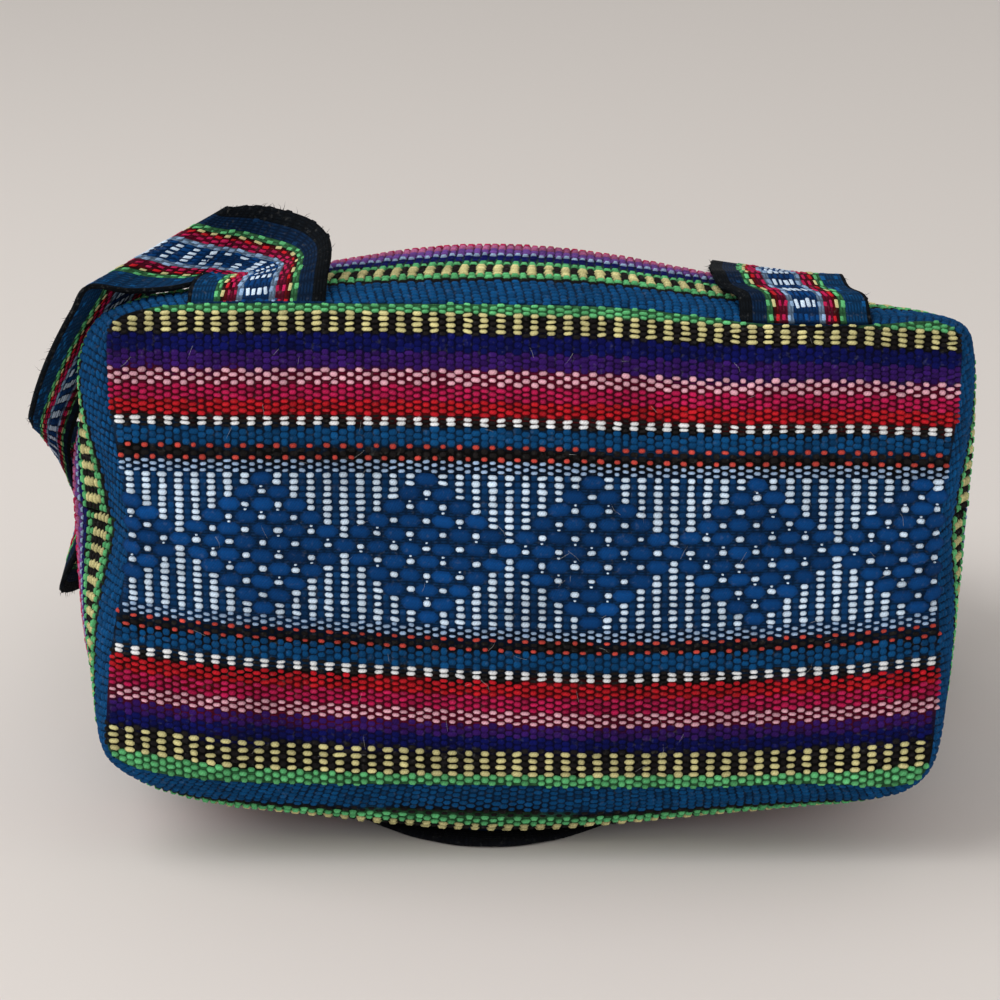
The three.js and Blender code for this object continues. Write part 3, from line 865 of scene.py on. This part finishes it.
def wallPoints(out, angle):
    # angle 0 is the right crease, pi the left one
    out, angle = np.broadcast_arrays(np.asarray(out, float)[:, None], np.asarray(angle, float)[None, :])
    place = np.interp(out, bag["out"], np.arange(len(bag["out"])))
    now = {key: curveThrough(values, place) for key, values in bag.items() if key != "out"}
    up = np.sin(angle) >= 0
    tall = np.where(up, now["high"] - now["fold"], now["fold"] - now["low"])
    power = np.where(up, now["upper"], now["lower"])
    reach = (np.abs(np.cos(angle)) / now["half"]) ** power + (np.abs(np.sin(angle)) / tall) ** power
    reach = reach ** (-1 / power)
    x, z = reach * np.cos(angle), reach * np.sin(angle)
    share = np.abs(z) / tall
    near = np.exp(-out / seamFade)
    depth = np.where(x < 0, now["left"], now["right"])
    pinch = np.sign(x) * depth * bell(z, 0, now["spread"])
    pinch = pinch - now["hollow"] * bell(z, *hollowBell) * np.clip(-x / hollowFade, 0, 1)
    above = now["crown"] * bell(x, *crownBell) - near * dents(x, topDips)
    above = above + np.exp(-out / cornerFade) * dents(x, (cornerPull,))
    corner = now["rise"] * (x / now["half"]) ** cornerPower
    below = corner - now["belly"] * bell(x, *bellyBell) - near * dents(x, lowDrops)
    z = z + share * np.where(up, above, below)
    x = x + np.where(up, 0, share * (now["slump"] - now["tuck"] * x / now["half"])) - pinch + now["shift"]
    return np.stack((x, out, now["fold"] + z), axis=-1)


def halfLoops(out, start, stop, spans):
    # crease to crease in equal steps along the cloth, for each distance from the seam
    raw = wallPoints(out, np.linspace(start, stop, loopSamples))
    steps = np.linalg.norm(np.diff(raw, axis=1), axis=2)
    run = np.concatenate((np.zeros((len(raw), 1)), np.cumsum(steps, axis=1)), axis=1)
    grid = np.empty((len(raw), spans + 1, 3))
    for k in range(len(raw)):
        want = np.linspace(creaseGap / 2, run[k, -1] - creaseGap / 2, spans + 1)
        for axis in range(3):
            grid[k, :, axis] = np.interp(want, run[k], raw[k, :, axis])
    return grid, run[:, -1]


# base: the end of the bag that faces the camera
basePanel = {
    "cloth": 2.0,
    "swell": 3.0,
    "folds": (0.7, 17, 0.6),  # height, length and start of the soft folds
    "low": 21.8,  # lower edge of the stripes
    "middle": 86.0,
    "tall": 127.2,
    "arch": 1.3,  # rise of the stripes half way up
    "edgeRound": 3.2,
    "seamRoom": 0.1,
    "stripes": (  # warps and mm, from the lower edge up
        ("ggggggg", 7.0), ("ykykykyk", 7.5), ("nnnn", 3.1), ("vvvv", 3.4), ("pppp", 3.7), ("ccccc", 4.0),
        ("rrrrr", 4.0), ("kwkwk", 3.1), ("bbbbb", 4.6), ("okko", 3.4), ("ssss", 3.1), ("diamonds", 39.8),
        ("ssss", 3.2), ("okko", 4.1), ("bbbbb", 4.4), ("kwkwk", 3.1), ("rrrrr", 3.9), ("ccccc", 3.9),
        ("pppp", 4.2), ("vvvvvv", 4.4), ("nnnnn", 4.4), ("kykykyky", 5.7), ("gggg", 2.4),
    ),
    "spare": 4.0,  # mm of the first stripe below the lower edge, for the corners
    "reach": 114.77,  # half width of the woven piece, more than the base needs
    "bendFrom": ((0, 0.1), (0.34, 0.31), (0.65, 0.35)),  # shares of the height: start and run
    "middleBend": 0.45,  # share of the top bend half way up
    "bend": {  # how the stripes rise and fall across the base, mm
        "x": (-106, -101, -79, -51, -21, 17, 52, 80, 98, 106),
        "top": (0.5, 0.5, 0.5, 0.5, 0, -1.0, -3.2, -3.4, -4.6, -5.2),
        "low": (6.6, 5.8, 3.7, 1.8, 0, -1.0, -0.5, 0.8, 2.6, 3.2),
        "edge": (7.2, 6.5, 2.2, 0.8, 0, 0, 0, 0.9, 2.4, 3.6),
    },
    "firstTip": 11,  # column of the first diamond tip
    "grid": (240, 206),  # points across and up
    "rings": ((0.03, 0.9, 26), (0.915, 1, 9)),  # of the ground: from, to and number
    "ringSteps": 110,
    "seamSteps": 300,
    "hairs": {  # sizes in mm
        "count": 90,
        "inset": (8, 4),
        "length": (1.5, 5),
        "rise": 0.25,  # slope off the face
        "lift": 0.2,
        "room": 6,  # they keep this far from the seam
        "thick": 0.035,
        "light": 0.4,
    },
    "finish": clothFinish,
}


def seamOutline(spans):
    upper, _ = halfLoops([0.0], math.pi, 0, spans)
    lower, _ = halfLoops([0.0], 0, -math.pi, spans)
    return np.concatenate((upper[0], lower[0]))


seamLoop = seamOutline(basePanel["seamSteps"])
seamAngle = np.arctan2(seamLoop[:, 2] - basePanel["middle"], seamLoop[:, 0])
seamReach = np.hypot(seamLoop[:, 0], seamLoop[:, 2] - basePanel["middle"])
turnOrder = np.argsort(seamAngle)
seamAngle, seamReach = seamAngle[turnOrder], seamReach[turnOrder]


def baseDepth(x, z):
    # how far in front of the seam the base stands, and the room left to the seam
    rise = z - basePanel["middle"]
    reach = np.interp(np.arctan2(rise, x), seamAngle, seamReach, period=2 * math.pi)
    ring = np.hypot(x, rise) / reach
    room = (1 - ring) * reach
    swell = basePanel["swell"] * np.clip(1 - ring ** 2, 0, 1)
    high, run, start = basePanel["folds"]
    folds = high * np.sin(x / run + start) * np.clip(1 - ring ** 4, 0, 1)
    near = np.clip(1 - room / basePanel["edgeRound"], 0, 1)
    thick = basePanel["cloth"] * np.sqrt(np.clip(1 - near ** 2, 0, 1))
    return -pieceGap - thick - swell - folds, room


def baseHeight(x, share):
    # height of a place on the base, share 0 at its lower edge and 1 at its upper one
    bend = basePanel["bend"]
    top, low, edge = (np.interp(x, bend["x"], bend[key]) for key in ("top", "low", "edge"))
    shift = edge
    for aim, (begin, run) in zip((low, basePanel["middleBend"] * top, top), basePanel["bendFrom"]):
        shift = shift + (aim - shift) * np.clip((share - begin) / run, 0, 1)
    return basePanel["low"] + basePanel["tall"] * share + shift + basePanel["arch"] * np.sin(math.pi * share)


def makeBase():
    values = basePanel
    rows = warpRows(values["stripes"])
    width, tall = 2 * values["reach"], rows["width"]
    columns, lines = values["grid"]
    across = np.linspace(0, width, columns)
    spare = values["spare"]
    share = np.linspace(-spare / (tall - spare), 1, lines)
    x, f = np.meshgrid(across - width / 2, share)
    z = baseHeight(x, f)
    depth, _ = baseDepth(x, z)
    at = surfaceOf(np.stack((x, depth, z), -1), across, spare + share * (tall - spare))
    parts = [plainWeave(rows, width)]
    parts += [diamondField(width, begin, high, values["firstTip"]) for begin, high in rows["fields"]]
    stitches = joined(*parts)
    spot = at(stitches["s"], stitches["t"])[0]
    _, room = baseDepth(spot[:, 0], spot[:, 2])
    stitches = only(stitches, room > values["seamRoom"])
    yarn = clothMaterial("baseYarn", values["finish"])
    weave = layStitches("base_weave", at, stitches, ((0, 0), (width, tall)), yarn)
    addPiece(weave)

    # a few pale hairs caught on the face
    hair = values["hairs"]
    count, (besideX, besideT) = hair["count"], hair["inset"]
    s = draws.uniform(besideX, width - besideX, count)
    t = draws.uniform(besideT, tall - besideT, count)
    spot, du, dv, normal = at(s, t)
    turn = draws.uniform(0, 2 * math.pi, (count, 1))
    reach = draws.uniform(*hair["length"], (count, 1))
    ways = unit(du * np.cos(turn) + dv * np.sin(turn) + normal * hair["rise"]) * reach
    _, room = baseDepth(spot[:, 0], spot[:, 2])
    stay = room > hair["room"]
    pale = np.full((stay.sum(), 3), hair["light"])
    roots = spot + normal * hair["lift"]
    hairs = looseFibres("base_hairs", roots[stay], ways[stay], pale, hair["thick"], yarn)
    addPiece(hairs)

    # ground cloth: rings from the middle to the seam, face and back
    sunk = weaving["groundSunk"]
    rings = np.concatenate([np.linspace(*part) for part in values["rings"]])
    loop = seamOutline(values["ringSteps"]) - (0, 0, values["middle"])
    loop = loop * (1 - sunk / np.linalg.norm(loop, axis=1, keepdims=True))  # under the stitches at the seam
    gx = np.append(rings[:, None] * loop[None, :, 0], 0)
    gz = values["middle"] + np.append(rings[:, None] * loop[None, :, 2], 0)
    gy = baseDepth(gx, gz)[0] + sunk
    lo, hi = baseHeight(gx, 0 * gx), baseHeight(gx, 0 * gx + 1)
    place = np.clip(spare + (gz - lo) / (hi - lo) * (tall - spare), 0, tall)
    ground = shadedGroundColours(rows, place)
    behind = np.minimum(gy + values["cloth"] - sunk, -pieceGap)
    points = np.concatenate((np.stack((gx, gy, gz), -1), np.stack((gx, behind, gz), -1)))
    index = np.arange(len(gx) - 1).reshape(len(rings), -1)
    after = np.roll(index, -1, axis=1)
    a, b, c, d = (line.ravel() for line in (index[:-1], after[:-1], after[1:], index[1:]))
    hub = np.full(index.shape[1], len(gx) - 1)
    corners = ((a, b, c), (a, c, d), (hub, after[0], index[0]))
    face = np.concatenate([np.stack(corner, -1) for corner in corners])
    rim, rimAfter, shift = index[-1], after[-1], len(gx)
    edge = np.stack((rim, rimAfter, rimAfter + shift), -1), np.stack((rim, rimAfter + shift, rim + shift), -1)
    faces = (face, face[:, ::-1] + shift, *edge)
    flat = np.stack((gx + width / 2, place), -1).reshape(-1, 2)
    spots = np.concatenate((flat, flat))
    dyed = np.concatenate((ground, ground))
    under = clothMaterial("baseGround", values["finish"], ground=True)
    cloth = meshPiece("base_cloth", points, np.concatenate(faces), dyed, spots, None, under)
    addPiece(cloth, "base_panel")
    print("base made:", len(stitches["s"]), "stitches")


makeBase()

# walls: back panel on top, front panel underneath, striped round the bag
wallPanel = {
    "cloth": 2.0,
    "hem": 3.4,
    "hemFrom": 236.0,
    "border": (  # warps and mm, from the base seam on
        ("bbbbbbbbbbbbbb", 10.7), ("kk", 1.6), ("ggg", 2.4), ("ykykykyk", 6.2), ("ggg", 2.4), ("k", 0.8),
        ("nnnnn", 4.0), ("ss", 1.1), ("uuuuu", 4.0), ("ffff", 3.2), ("ccccc", 4.0), ("rrrrr", 4.0),
        ("kwkwk", 3.6), ("bbbb", 3.2), ("kokkok", 4.6), ("ssss", 3.2),
    ),
    "field": 38.0,
    "firstTip": 4,
    "sections": ((0, 20, 0.5), (20, 60, 1.5), (60, bagLength, 3.5)),  # from, to and step, mm from the seam
    "around": 240,
    "margin": (0.35, 0.8),  # free of stitches at the seam and at the mouth
    "ground": (97, 60),  # points across and rows
    "groundRow": 1.2,  # mm, no row is closer to the next
    "hemStep": 0.8,
    "mouthRoom": 2,
    "taken": {"front": (14, 45, 3.2)},  # cloth the seam takes up: from the middle, width, mm
    "strapFeet": {"back": ((-86, -52), (51, 83.5))},  # x of the straps where they leave the seam
    "footReach": 2.2,  # stitches nearer the seam than this are covered there
    "fineReach": 62.0,  # stitches nearer the base than this are modelled finer
    "finish": clothFinish,
}


def wallStripes(length):
    # the stripes and their mirror image in turn, with diamonds in the middle of each repeat
    border = wallPanel["border"]
    mirrored = tuple((stripe[::-1], width) for stripe, width in border[::-1])
    repeat = border + (("diamonds", wallPanel["field"]),) + mirrored
    once = sum(width for _, width in repeat)
    return warpRows(repeat * int(length // once + 1))


def makeWall(name, node, start, stop, yarn, under):
    values = wallPanel
    out = np.concatenate([np.arange(*part) for part in values["sections"]] + [[bagLength]])
    grid, around = halfLoops(out, start, stop, values["around"])
    steps = np.linalg.norm(np.diff(grid, axis=0), axis=2).mean(axis=1)
    along = np.concatenate(([0], np.cumsum(steps)))
    length = float(around.mean())
    across = np.linspace(0, length, grid.shape[1])
    at = surfaceOf(grid, across, along)
    rows = wallStripes(along[-1])
    parts = [plainWeave(rows, length)]
    parts += [diamondField(length, begin, high, values["firstTip"]) for begin, high in rows["fields"]]
    stitches = joined(*parts)
    middle, wide, most = values["taken"].get(name, (0, 1, 0))

    def taken(s, t):
        return most * bell(s - length / 2, middle, wide) * np.exp(-t / seamFade)

    stitches["t"] = stitches["t"] - taken(stitches["s"], stitches["t"])
    atSeam, atMouth = values["margin"]
    stitches = only(stitches, (stitches["t"] > atSeam) & (stitches["t"] < along[-1] - atMouth))
    x = at(stitches["s"], stitches["t"])[0][:, 0]
    for left, right in values["strapFeet"].get(name, ()):
        covered = (x > left) & (x < right) & (stitches["t"] < values["footReach"])
        x, stitches = x[~covered], only(stitches, ~covered)
    span = ((0, 0), (length, along[-1]))
    close = stitches["t"] < values["fineReach"]
    fine = layStitches(name + "_weave_near", at, only(stitches, close), span, yarn)
    rest = layStitches(name + "_weave_far", at, only(stitches, ~close), span, yarn, fine=False)
    for weave in (fine, rest):
        addPiece(weave)

    # ground cloth with a row at each change of stripe
    changes = np.flatnonzero(rows["letters"][1:] != rows["letters"][:-1])
    changes = (rows["t"][changes] + rows["t"][changes + 1]) / 2
    changes = changes[changes < along[-1] - values["mouthRoom"]]
    columns, count = values["ground"]
    lines = np.unique(np.concatenate((changes, np.linspace(0, along[-1], count))))
    lines = lines[np.concatenate(([True], np.diff(lines) > values["groundRow"]))]
    lines[-1] = along[-1]
    hemStart = np.interp(values["hemFrom"], out, along)
    lines = np.unique(np.concatenate((lines, [hemStart, hemStart + values["hemStep"]])))
    s, t = np.meshgrid(np.linspace(0, length, columns), lines)
    spots = at(s.ravel(), t.ravel())[0].reshape(len(lines), -1, 3)
    tone = shadedGroundColours(rows, (t + taken(s, t)).ravel())
    drop = np.where(lines > hemStart, values["hem"], values["cloth"])
    flat = np.stack((s, t), -1)
    cloth = clothSheet(name + "_cloth", spots, -weaving["groundSunk"], drop, flat, tone, under)
    addPiece(cloth, node)
    print(name, "made:", len(stitches["s"]), "stitches")


wallYarn = clothMaterial("wallYarn", wallPanel["finish"])
wallGround = clothMaterial("wallGround", wallPanel["finish"], ground=True)
makeWall("back", "back_panel", math.pi, 0, wallYarn, wallGround)
makeWall("front", "front_panel", 0, -math.pi, wallYarn, wallGround)

# straps: flat woven bands, left and right borders from the base seam to the mouth, mm
strapBand = {
    "thick": 0.62,  # of the ground, to each side
    "pick": 2.4,
    "fuller": (1.12, 1.28),  # length and width of the stitches against those of the bag
    "stripes": (  # warps and mm, from the right border to the left one
        ("mmm", 3.2), ("zzzz", 3.8), ("gg", 1.6), ("yr", 1.6), ("ccc", 2.3), ("aa", 1.5), ("dxdxdxdxd", 6.6),
        ("aa", 1.5), ("ccc", 2.3), ("ry", 1.6), ("gg", 1.6), ("tttttt", 5.5), ("m", 0.9),
    ),
    "lift": 0.56,  # of the stitches on both faces
    "tuck": 3.4,  # how far the end goes down into the base seam
    "tuckRun": 3.5,
    "steps": (14, 15),  # points from one place of the route to the next, and across
    "groundLines": 8,
    "changeRoom": 0.1,  # the ground changes colour within this on each side
    "fuzz": 420,  # loose fibres along each border
    "finish": dict(clothFinish, lint=0.15, pick=2.1),
}
leftRoute = (  # left border x, y, z, right border x, y, z, and how far the middle is sunk
    (-86, 0.6, 150.6, -52, 0.6, 150.6, 0), (-85.5, 3.5, 151.4, -51.2, 6, 155.5, 1.5),
    (-84.5, 6.5, 153, -50.8, 12, 159, 3.2), (-83, 9, 153.7, -52, 19, 162, 5.2),
    (-82, 10, 153.7, -57, 25, 165, 7.5), (-83.5, 8.5, 152.2, -65.5, 28, 167, 7.6),
    (-91, 5.4, 150.9, -71.5, 27, 167.8, 5), (-101, 4.8, 150.4, -75.5, 25, 167.8, 2),
    (-111, 5, 151.3, -78, 24, 167.3, 0), (-115.5, 7.5, 144.5, -84, 28, 160.5, 0),
    (-120, 10.5, 136.5, -93, 33.5, 149, 0), (-124, 12.5, 128, -102, 37.6, 138.5, 0),
    (-127, 14.5, 119.5, -113.5, 44.5, 121.5, 0), (-128.5, 20, 112.5, -122.9, 48, 101, 0),
    (-127, 46, 104, -123.8, 67, 79, 0),
    (-122.5, 82, 96, -124, 84, 64, 0), (-123, 96, 77, -133, 92, 45, 0), (-122, 128, 73, -126, 122, 40, 0),
    (-121, 164, 71, -124, 165, 37, 0), (-108, 184, 75, -120, 206, 50, 0), (-82, 205, 76, -98, 235, 60, 0),
    (-51, 214, 71.5, -62, 246, 58, 0), (-21, 213, 69.9, -29, 246, 55.2, 0),
)
rightRoute = (
    (51, 0.6, 146.8, 83.5, 0.6, 146.4, 0), (50.5, 5, 149.6, 82.5, 5, 149, 0),
    (46.5, 10, 150.6, 79, 10, 149.9, 0), (45, 15, 152.8, 77.5, 15, 152, 0),
    (45, 23, 151.8, 77, 23, 150, 0), (45.5, 34, 150.6, 77.5, 35, 147.3, 0),
    (48, 50, 148, 80, 47, 143.5, 0), (58, 90, 131, 89, 78, 129.5, 0), (80, 122, 112, 104, 98, 118, 0),
    (106, 142, 95, 117, 112, 104, 0), (119.5, 150, 72, 121, 117, 83, 0), (120, 158, 42, 121, 125, 48, 0),
    (120.5, 166, 16, 121, 133, 19, 0), (124, 171, 9, 124.5, 138, 11, 0), (127.5, 177, 16, 128, 144, 19, 0),
    (126, 188, 46, 127, 155, 52, 0), (122, 202, 71, 124.5, 170, 82, 0), (103, 218, 79, 103, 184, 92, 0),
    (72, 234, 66, 66, 200, 80, 0), (46, 245, 58.5, 40, 212, 72.5, 0), (22, 247, 54.7, 17, 214, 69.4, 0),
)


def makeStrap(name, node, route, yarn, under, darkRight=True):
    values = strapBand
    stripes = values["stripes"]
    if not darkRight:
        stripes = tuple((stripe[::-1], width) for stripe, width in stripes[::-1])
    rows = warpRows(stripes)
    route = np.array(route, float)
    spans = len(route) - 1
    steps, wide = values["steps"]
    place = np.linspace(0, spans, spans * steps + 1)
    course = np.stack([curveThrough(column, place) for column in route.T], axis=1)
    left, right, bow = course[:, :3], course[:, 3:6], course[:, 6:]
    mix = np.linspace(0, 1, wide)[:, None, None]
    face = unit(np.cross(right - left, np.gradient(left + right, axis=0)))
    grid = right * (1 - mix) + left * mix - 4 * mix * (1 - mix) * bow * face  # right border first
    middle = grid[wide // 2]
    along = np.concatenate(([0], np.cumsum(np.linalg.norm(np.diff(middle, axis=0), axis=1))))
    grid[..., 2] -= values["tuck"] * np.exp(-((along / values["tuckRun"]) ** 2))
    across = np.linspace(0, rows["width"], wide)
    at = surfaceOf(grid, along, across)
    length = float(along[-1])
    stitches = plainWeave(rows, length, values["pick"])
    for key, grown in zip(("long", "wide"), values["fuller"]):
        stitches[key] = stitches[key] * grown
    span = ((0, 0), (length, rows["width"]))
    for label, flip in (("_weave_outer", False), ("_weave_inner", True)):
        raised = raisedBy(at, -values["lift"] if flip else values["lift"])
        weave = layStitches(name + label, raised, stitches, span, yarn, flip=flip)
        addPiece(weave)
    borders = ((0.0, -1, stripes[0][0][0]), (rows["width"], 1, stripes[-1][0][0]))
    fuzz = edgeFibres(name + "_fuzz", at, length, borders, values["fuzz"], yarn)
    addPiece(fuzz)
    changes = np.cumsum([width for _, width in stripes])[:-1]
    lines = np.linspace(0, rows["width"], values["groundLines"])
    lines = np.sort(np.concatenate((lines, changes - values["changeRoom"], changes + values["changeRoom"])))
    s, t = np.meshgrid(along[::2], lines)
    spots = at(s.ravel(), t.ravel())[0].reshape(len(lines), -1, 3)
    tone = np.repeat(shadedGroundColours(rows, lines)[:, None], s.shape[1], axis=1)
    flat = np.stack((s, t), -1)
    cloth = clothSheet(name + "_cloth", spots, values["thick"], values["thick"], flat, tone, under)
    addPiece(cloth, node)
    print(name, "made:", 2 * len(stitches["s"]), "stitches")


strapYarn = clothMaterial("strapYarn", strapBand["finish"])
strapGround = clothMaterial("strapGround", strapBand["finish"], ground=True)
makeStrap("left_strap", "strap_left", leftRoute, strapYarn, strapGround)
makeStrap("right_strap", "strap_right", rightRoute, strapYarn, strapGround, darkRight=False)

# flap: leaves the top of the mouth, turns down and lies under the bag
flapPanel = {
    "width": 120.0,
    "round": 150.0,
    "tip": 19.0,
    "shift": -11.0,
    "top": 51.0,
    "rest": 1.0,  # height where it lies under the bag
    "reach": 6.0,
    "thick": 0.6,
    "back": 1.0,
    "lift": 0.5,  # of the stitches
    "margin": (0.6, 1.0),  # free of stitches at the sides and at the end
    "firstTip": 4,
    "grid": (41, 240),  # points across and along
    "ground": (33, 40, 24, 50),  # points across, round the bend, along the floor and in the rounded end
    "bendGap": 2,  # mm from the bend to the next row
    "endTurn": (0.02, 1.5),  # angles from the start of the rounded end to its tip
    "finish": dict(clothFinish, roughness=0.9),
}
flapTurn = (flapPanel["top"] - flapPanel["rest"]) / 2
flapBend = math.pi * flapTurn
flapEnd = bagLength + pieceGap + flapPanel["reach"]
flapLength = flapPanel["reach"] + flapBend + flapEnd - flapPanel["tip"]


def flapPath(along):
    along = np.asarray(along, float)
    angle = np.clip((along - flapPanel["reach"]) / flapTurn, 0, math.pi)
    y = bagLength + pieceGap + np.minimum(along, flapPanel["reach"]) + flapTurn * np.sin(angle)
    y = y - np.maximum(along - flapPanel["reach"] - flapBend, 0)
    z = flapPanel["top"] - flapTurn * (1 - np.cos(angle))
    return y, z


def flapHalfWidth(along):
    y, _ = flapPath(along)
    run = np.clip((flapPanel["tip"] + flapPanel["round"] - y) / flapPanel["round"], 0, 1)
    turned = along > flapPanel["reach"] + flapBend
    return flapPanel["width"] / 2 * np.where(turned, np.sqrt(1 - run ** 2), 1)


def flapStops(bent, lying):
    # places along the flap, round the bend and then up to where its end begins to round off
    past = flapPanel["reach"] + flapBend
    flatRun = np.linspace(past + flapPanel["bendGap"], flapLength - flapPanel["round"], lying)
    return np.concatenate((np.linspace(0, past, bent), flatRun))


def makeFlap():
    values = flapPanel
    wide = values["width"]
    columns, lines = values["grid"]
    across, along = np.linspace(0, wide, columns), np.linspace(0, flapLength, lines)
    x, _ = np.meshgrid(values["shift"] - wide / 2 + across, along)
    y, z = (np.repeat(line[:, None], columns, 1) for line in flapPath(along))
    at = surfaceOf(np.stack((x, y, z), -1), across, along)
    rows = wallStripes(flapLength)
    parts = [plainWeave(rows, wide)]
    parts += [diamondField(wide, begin, high, values["firstTip"]) for begin, high in rows["fields"]]
    stitches = joined(*parts)
    room = flapHalfWidth(stitches["t"]) - np.abs(stitches["s"] - wide / 2)
    beside, atEnd = values["margin"]
    stitches = only(stitches, (room > beside) & (stitches["t"] < flapLength - atEnd))
    yarn = clothMaterial("flapYarn", values["finish"])
    span = ((0, 0), (wide, flapLength))
    weave = layStitches("flap_weave", raisedBy(at, values["lift"]), stitches, span, yarn, fine=False)
    addPiece(weave)
    columns, bent, lying, rounded = values["ground"]
    turn = np.linspace(*values["endTurn"], rounded)
    stops = np.concatenate((flapStops(bent, lying), flapLength - values["round"] * (1 - np.sin(turn))))
    y, z, t = (np.repeat(line[:, None], columns, 1) for line in (*flapPath(stops), stops))
    x = flapHalfWidth(stops)[:, None] * np.linspace(-1, 1, columns)
    grid = np.stack((x + values["shift"], y, z), -1)
    tone = np.repeat(shadedGroundColours(rows, stops)[:, None], columns, axis=1)
    flat = np.stack((x + wide / 2, t), -1)
    under = clothMaterial("flapGround", values["finish"], ground=True)
    cloth = clothSheet("flap_cloth", grid, values["thick"], values["back"], flat, tone, under)
    addPiece(cloth, "flap")
    print("flap made:", len(stitches["s"]), "stitches")


makeFlap()

# binding: a dark tape folded round the edge of the flap
bindingTape = {
    "width": 9.0,
    "lift": 1.0,
    "drop": 0.95,
    "sides": 16,  # of its section
    "square": 0.6,  # the section is rounder towards 1
    "ripple": (0.1, 2.1),  # share of the height, and mm for each radian
    "lowest": 0.05,
    "girth": 22,
    "points": (60, 30, 70),  # round the bend, along the floor and in the rounded end
    "endStart": 0.02,  # angle
    "colour": "090b12",
    "shadeJitter": 0.25,
    "shadeRange": (0.5, 1.8),
    "finish": dict(clothFinish, roughness=0.95, streaks=0.8, twist=0.3, uneven=0.6, lint=0.1, bump=0.7,
                   pick=1.2, warp=0.9),
}


def bindingRoute():
    # inner and outer border of the tape, down one side of the flap, round the end and up the other side
    bent, lying, rounded = bindingTape["points"]
    straight = flapStops(bent, lying)
    angles = np.linspace(bindingTape["endStart"], math.pi / 2, rounded)
    borders = []
    for extra in (2 * pieceGap, 2 * pieceGap + bindingTape["width"]):
        width = flapPanel["width"] / 2 + extra
        y, z = flapPath(straight)
        side = np.stack((np.full(len(straight), width), y, z), -1)
        reach = flapPanel["round"] + extra
        along = flapPanel["tip"] + flapPanel["round"] - reach * np.sin(angles)
        curve = np.stack((width * np.cos(angles), along, np.full(len(angles), flapPanel["rest"])), -1)
        half = np.concatenate((side, curve))
        whole = np.concatenate((half, half[-2::-1] * (-1, 1, 1)))
        borders.append(whole + (flapPanel["shift"], 0, 0))
    return borders


def squarer(wave):
    return np.sign(wave) * np.abs(wave) ** bindingTape["square"]


def makeBinding():
    values = bindingTape
    inner, outer = bindingRoute()
    middle = (inner + outer) / 2
    ahead = unit(np.gradient(middle, axis=0))
    across = outer - inner
    normal = unit(np.cross(across, ahead))
    run = np.concatenate(([0], np.cumsum(np.linalg.norm(np.diff(middle, axis=0), axis=1))))
    ring = np.linspace(0, 2 * math.pi, values["sides"] + 1)[:-1]
    side = 0.5 - 0.5 * squarer(np.cos(ring))
    bulge = squarer(np.sin(ring))
    high = np.where(bulge > 0, values["lift"], values["drop"])
    swing, radian = values["ripple"]
    ripple = 1 + swing * np.sin(run / radian)[:, None]
    points = inner[:, None] + across[:, None] * side[None, :, None]
    points = points + normal[:, None] * (bulge * high * ripple)[..., None]
    points[..., 2] = np.maximum(points[..., 2], values["lowest"])
    rows, count = points.shape[:2]
    index = np.arange(rows * count).reshape(rows, count)
    turn = np.roll(index, -1, axis=1)
    faces = np.stack((index[:-1], index[1:], turn[1:], turn[:-1]), -1).reshape(-1, 4)
    caps = []
    for line in (index[0], index[-1][::-1]):
        for k in range(count // 2 - 1):
            caps.append((line[k], line[k + 1], line[count - 2 - k], line[count - 1 - k]))
    faces = np.concatenate((faces, np.array(caps)))
    girth = np.linspace(0, values["girth"], count)
    flat = np.stack((np.repeat(run[:, None], count, 1), np.repeat(girth[None], rows, 0)), -1).reshape(-1, 2)
    dyed = np.repeat(linear(values["colour"])[None], rows * count, axis=0)
    shade = 1 + values["shadeJitter"] * draws.normal(0, 1, (rows * count, 1))
    dyed = dyed * shade.clip(*values["shadeRange"])
    material = clothMaterial("bindingTape", values["finish"], ground=True)
    tape = meshPiece("flap_binding_tape", points.reshape(-1, 3), faces, dyed, flat, None, material)
    addPiece(tape, "flap_binding")
    print("binding made:", round(float(run[-1])), "mm")


makeBinding()
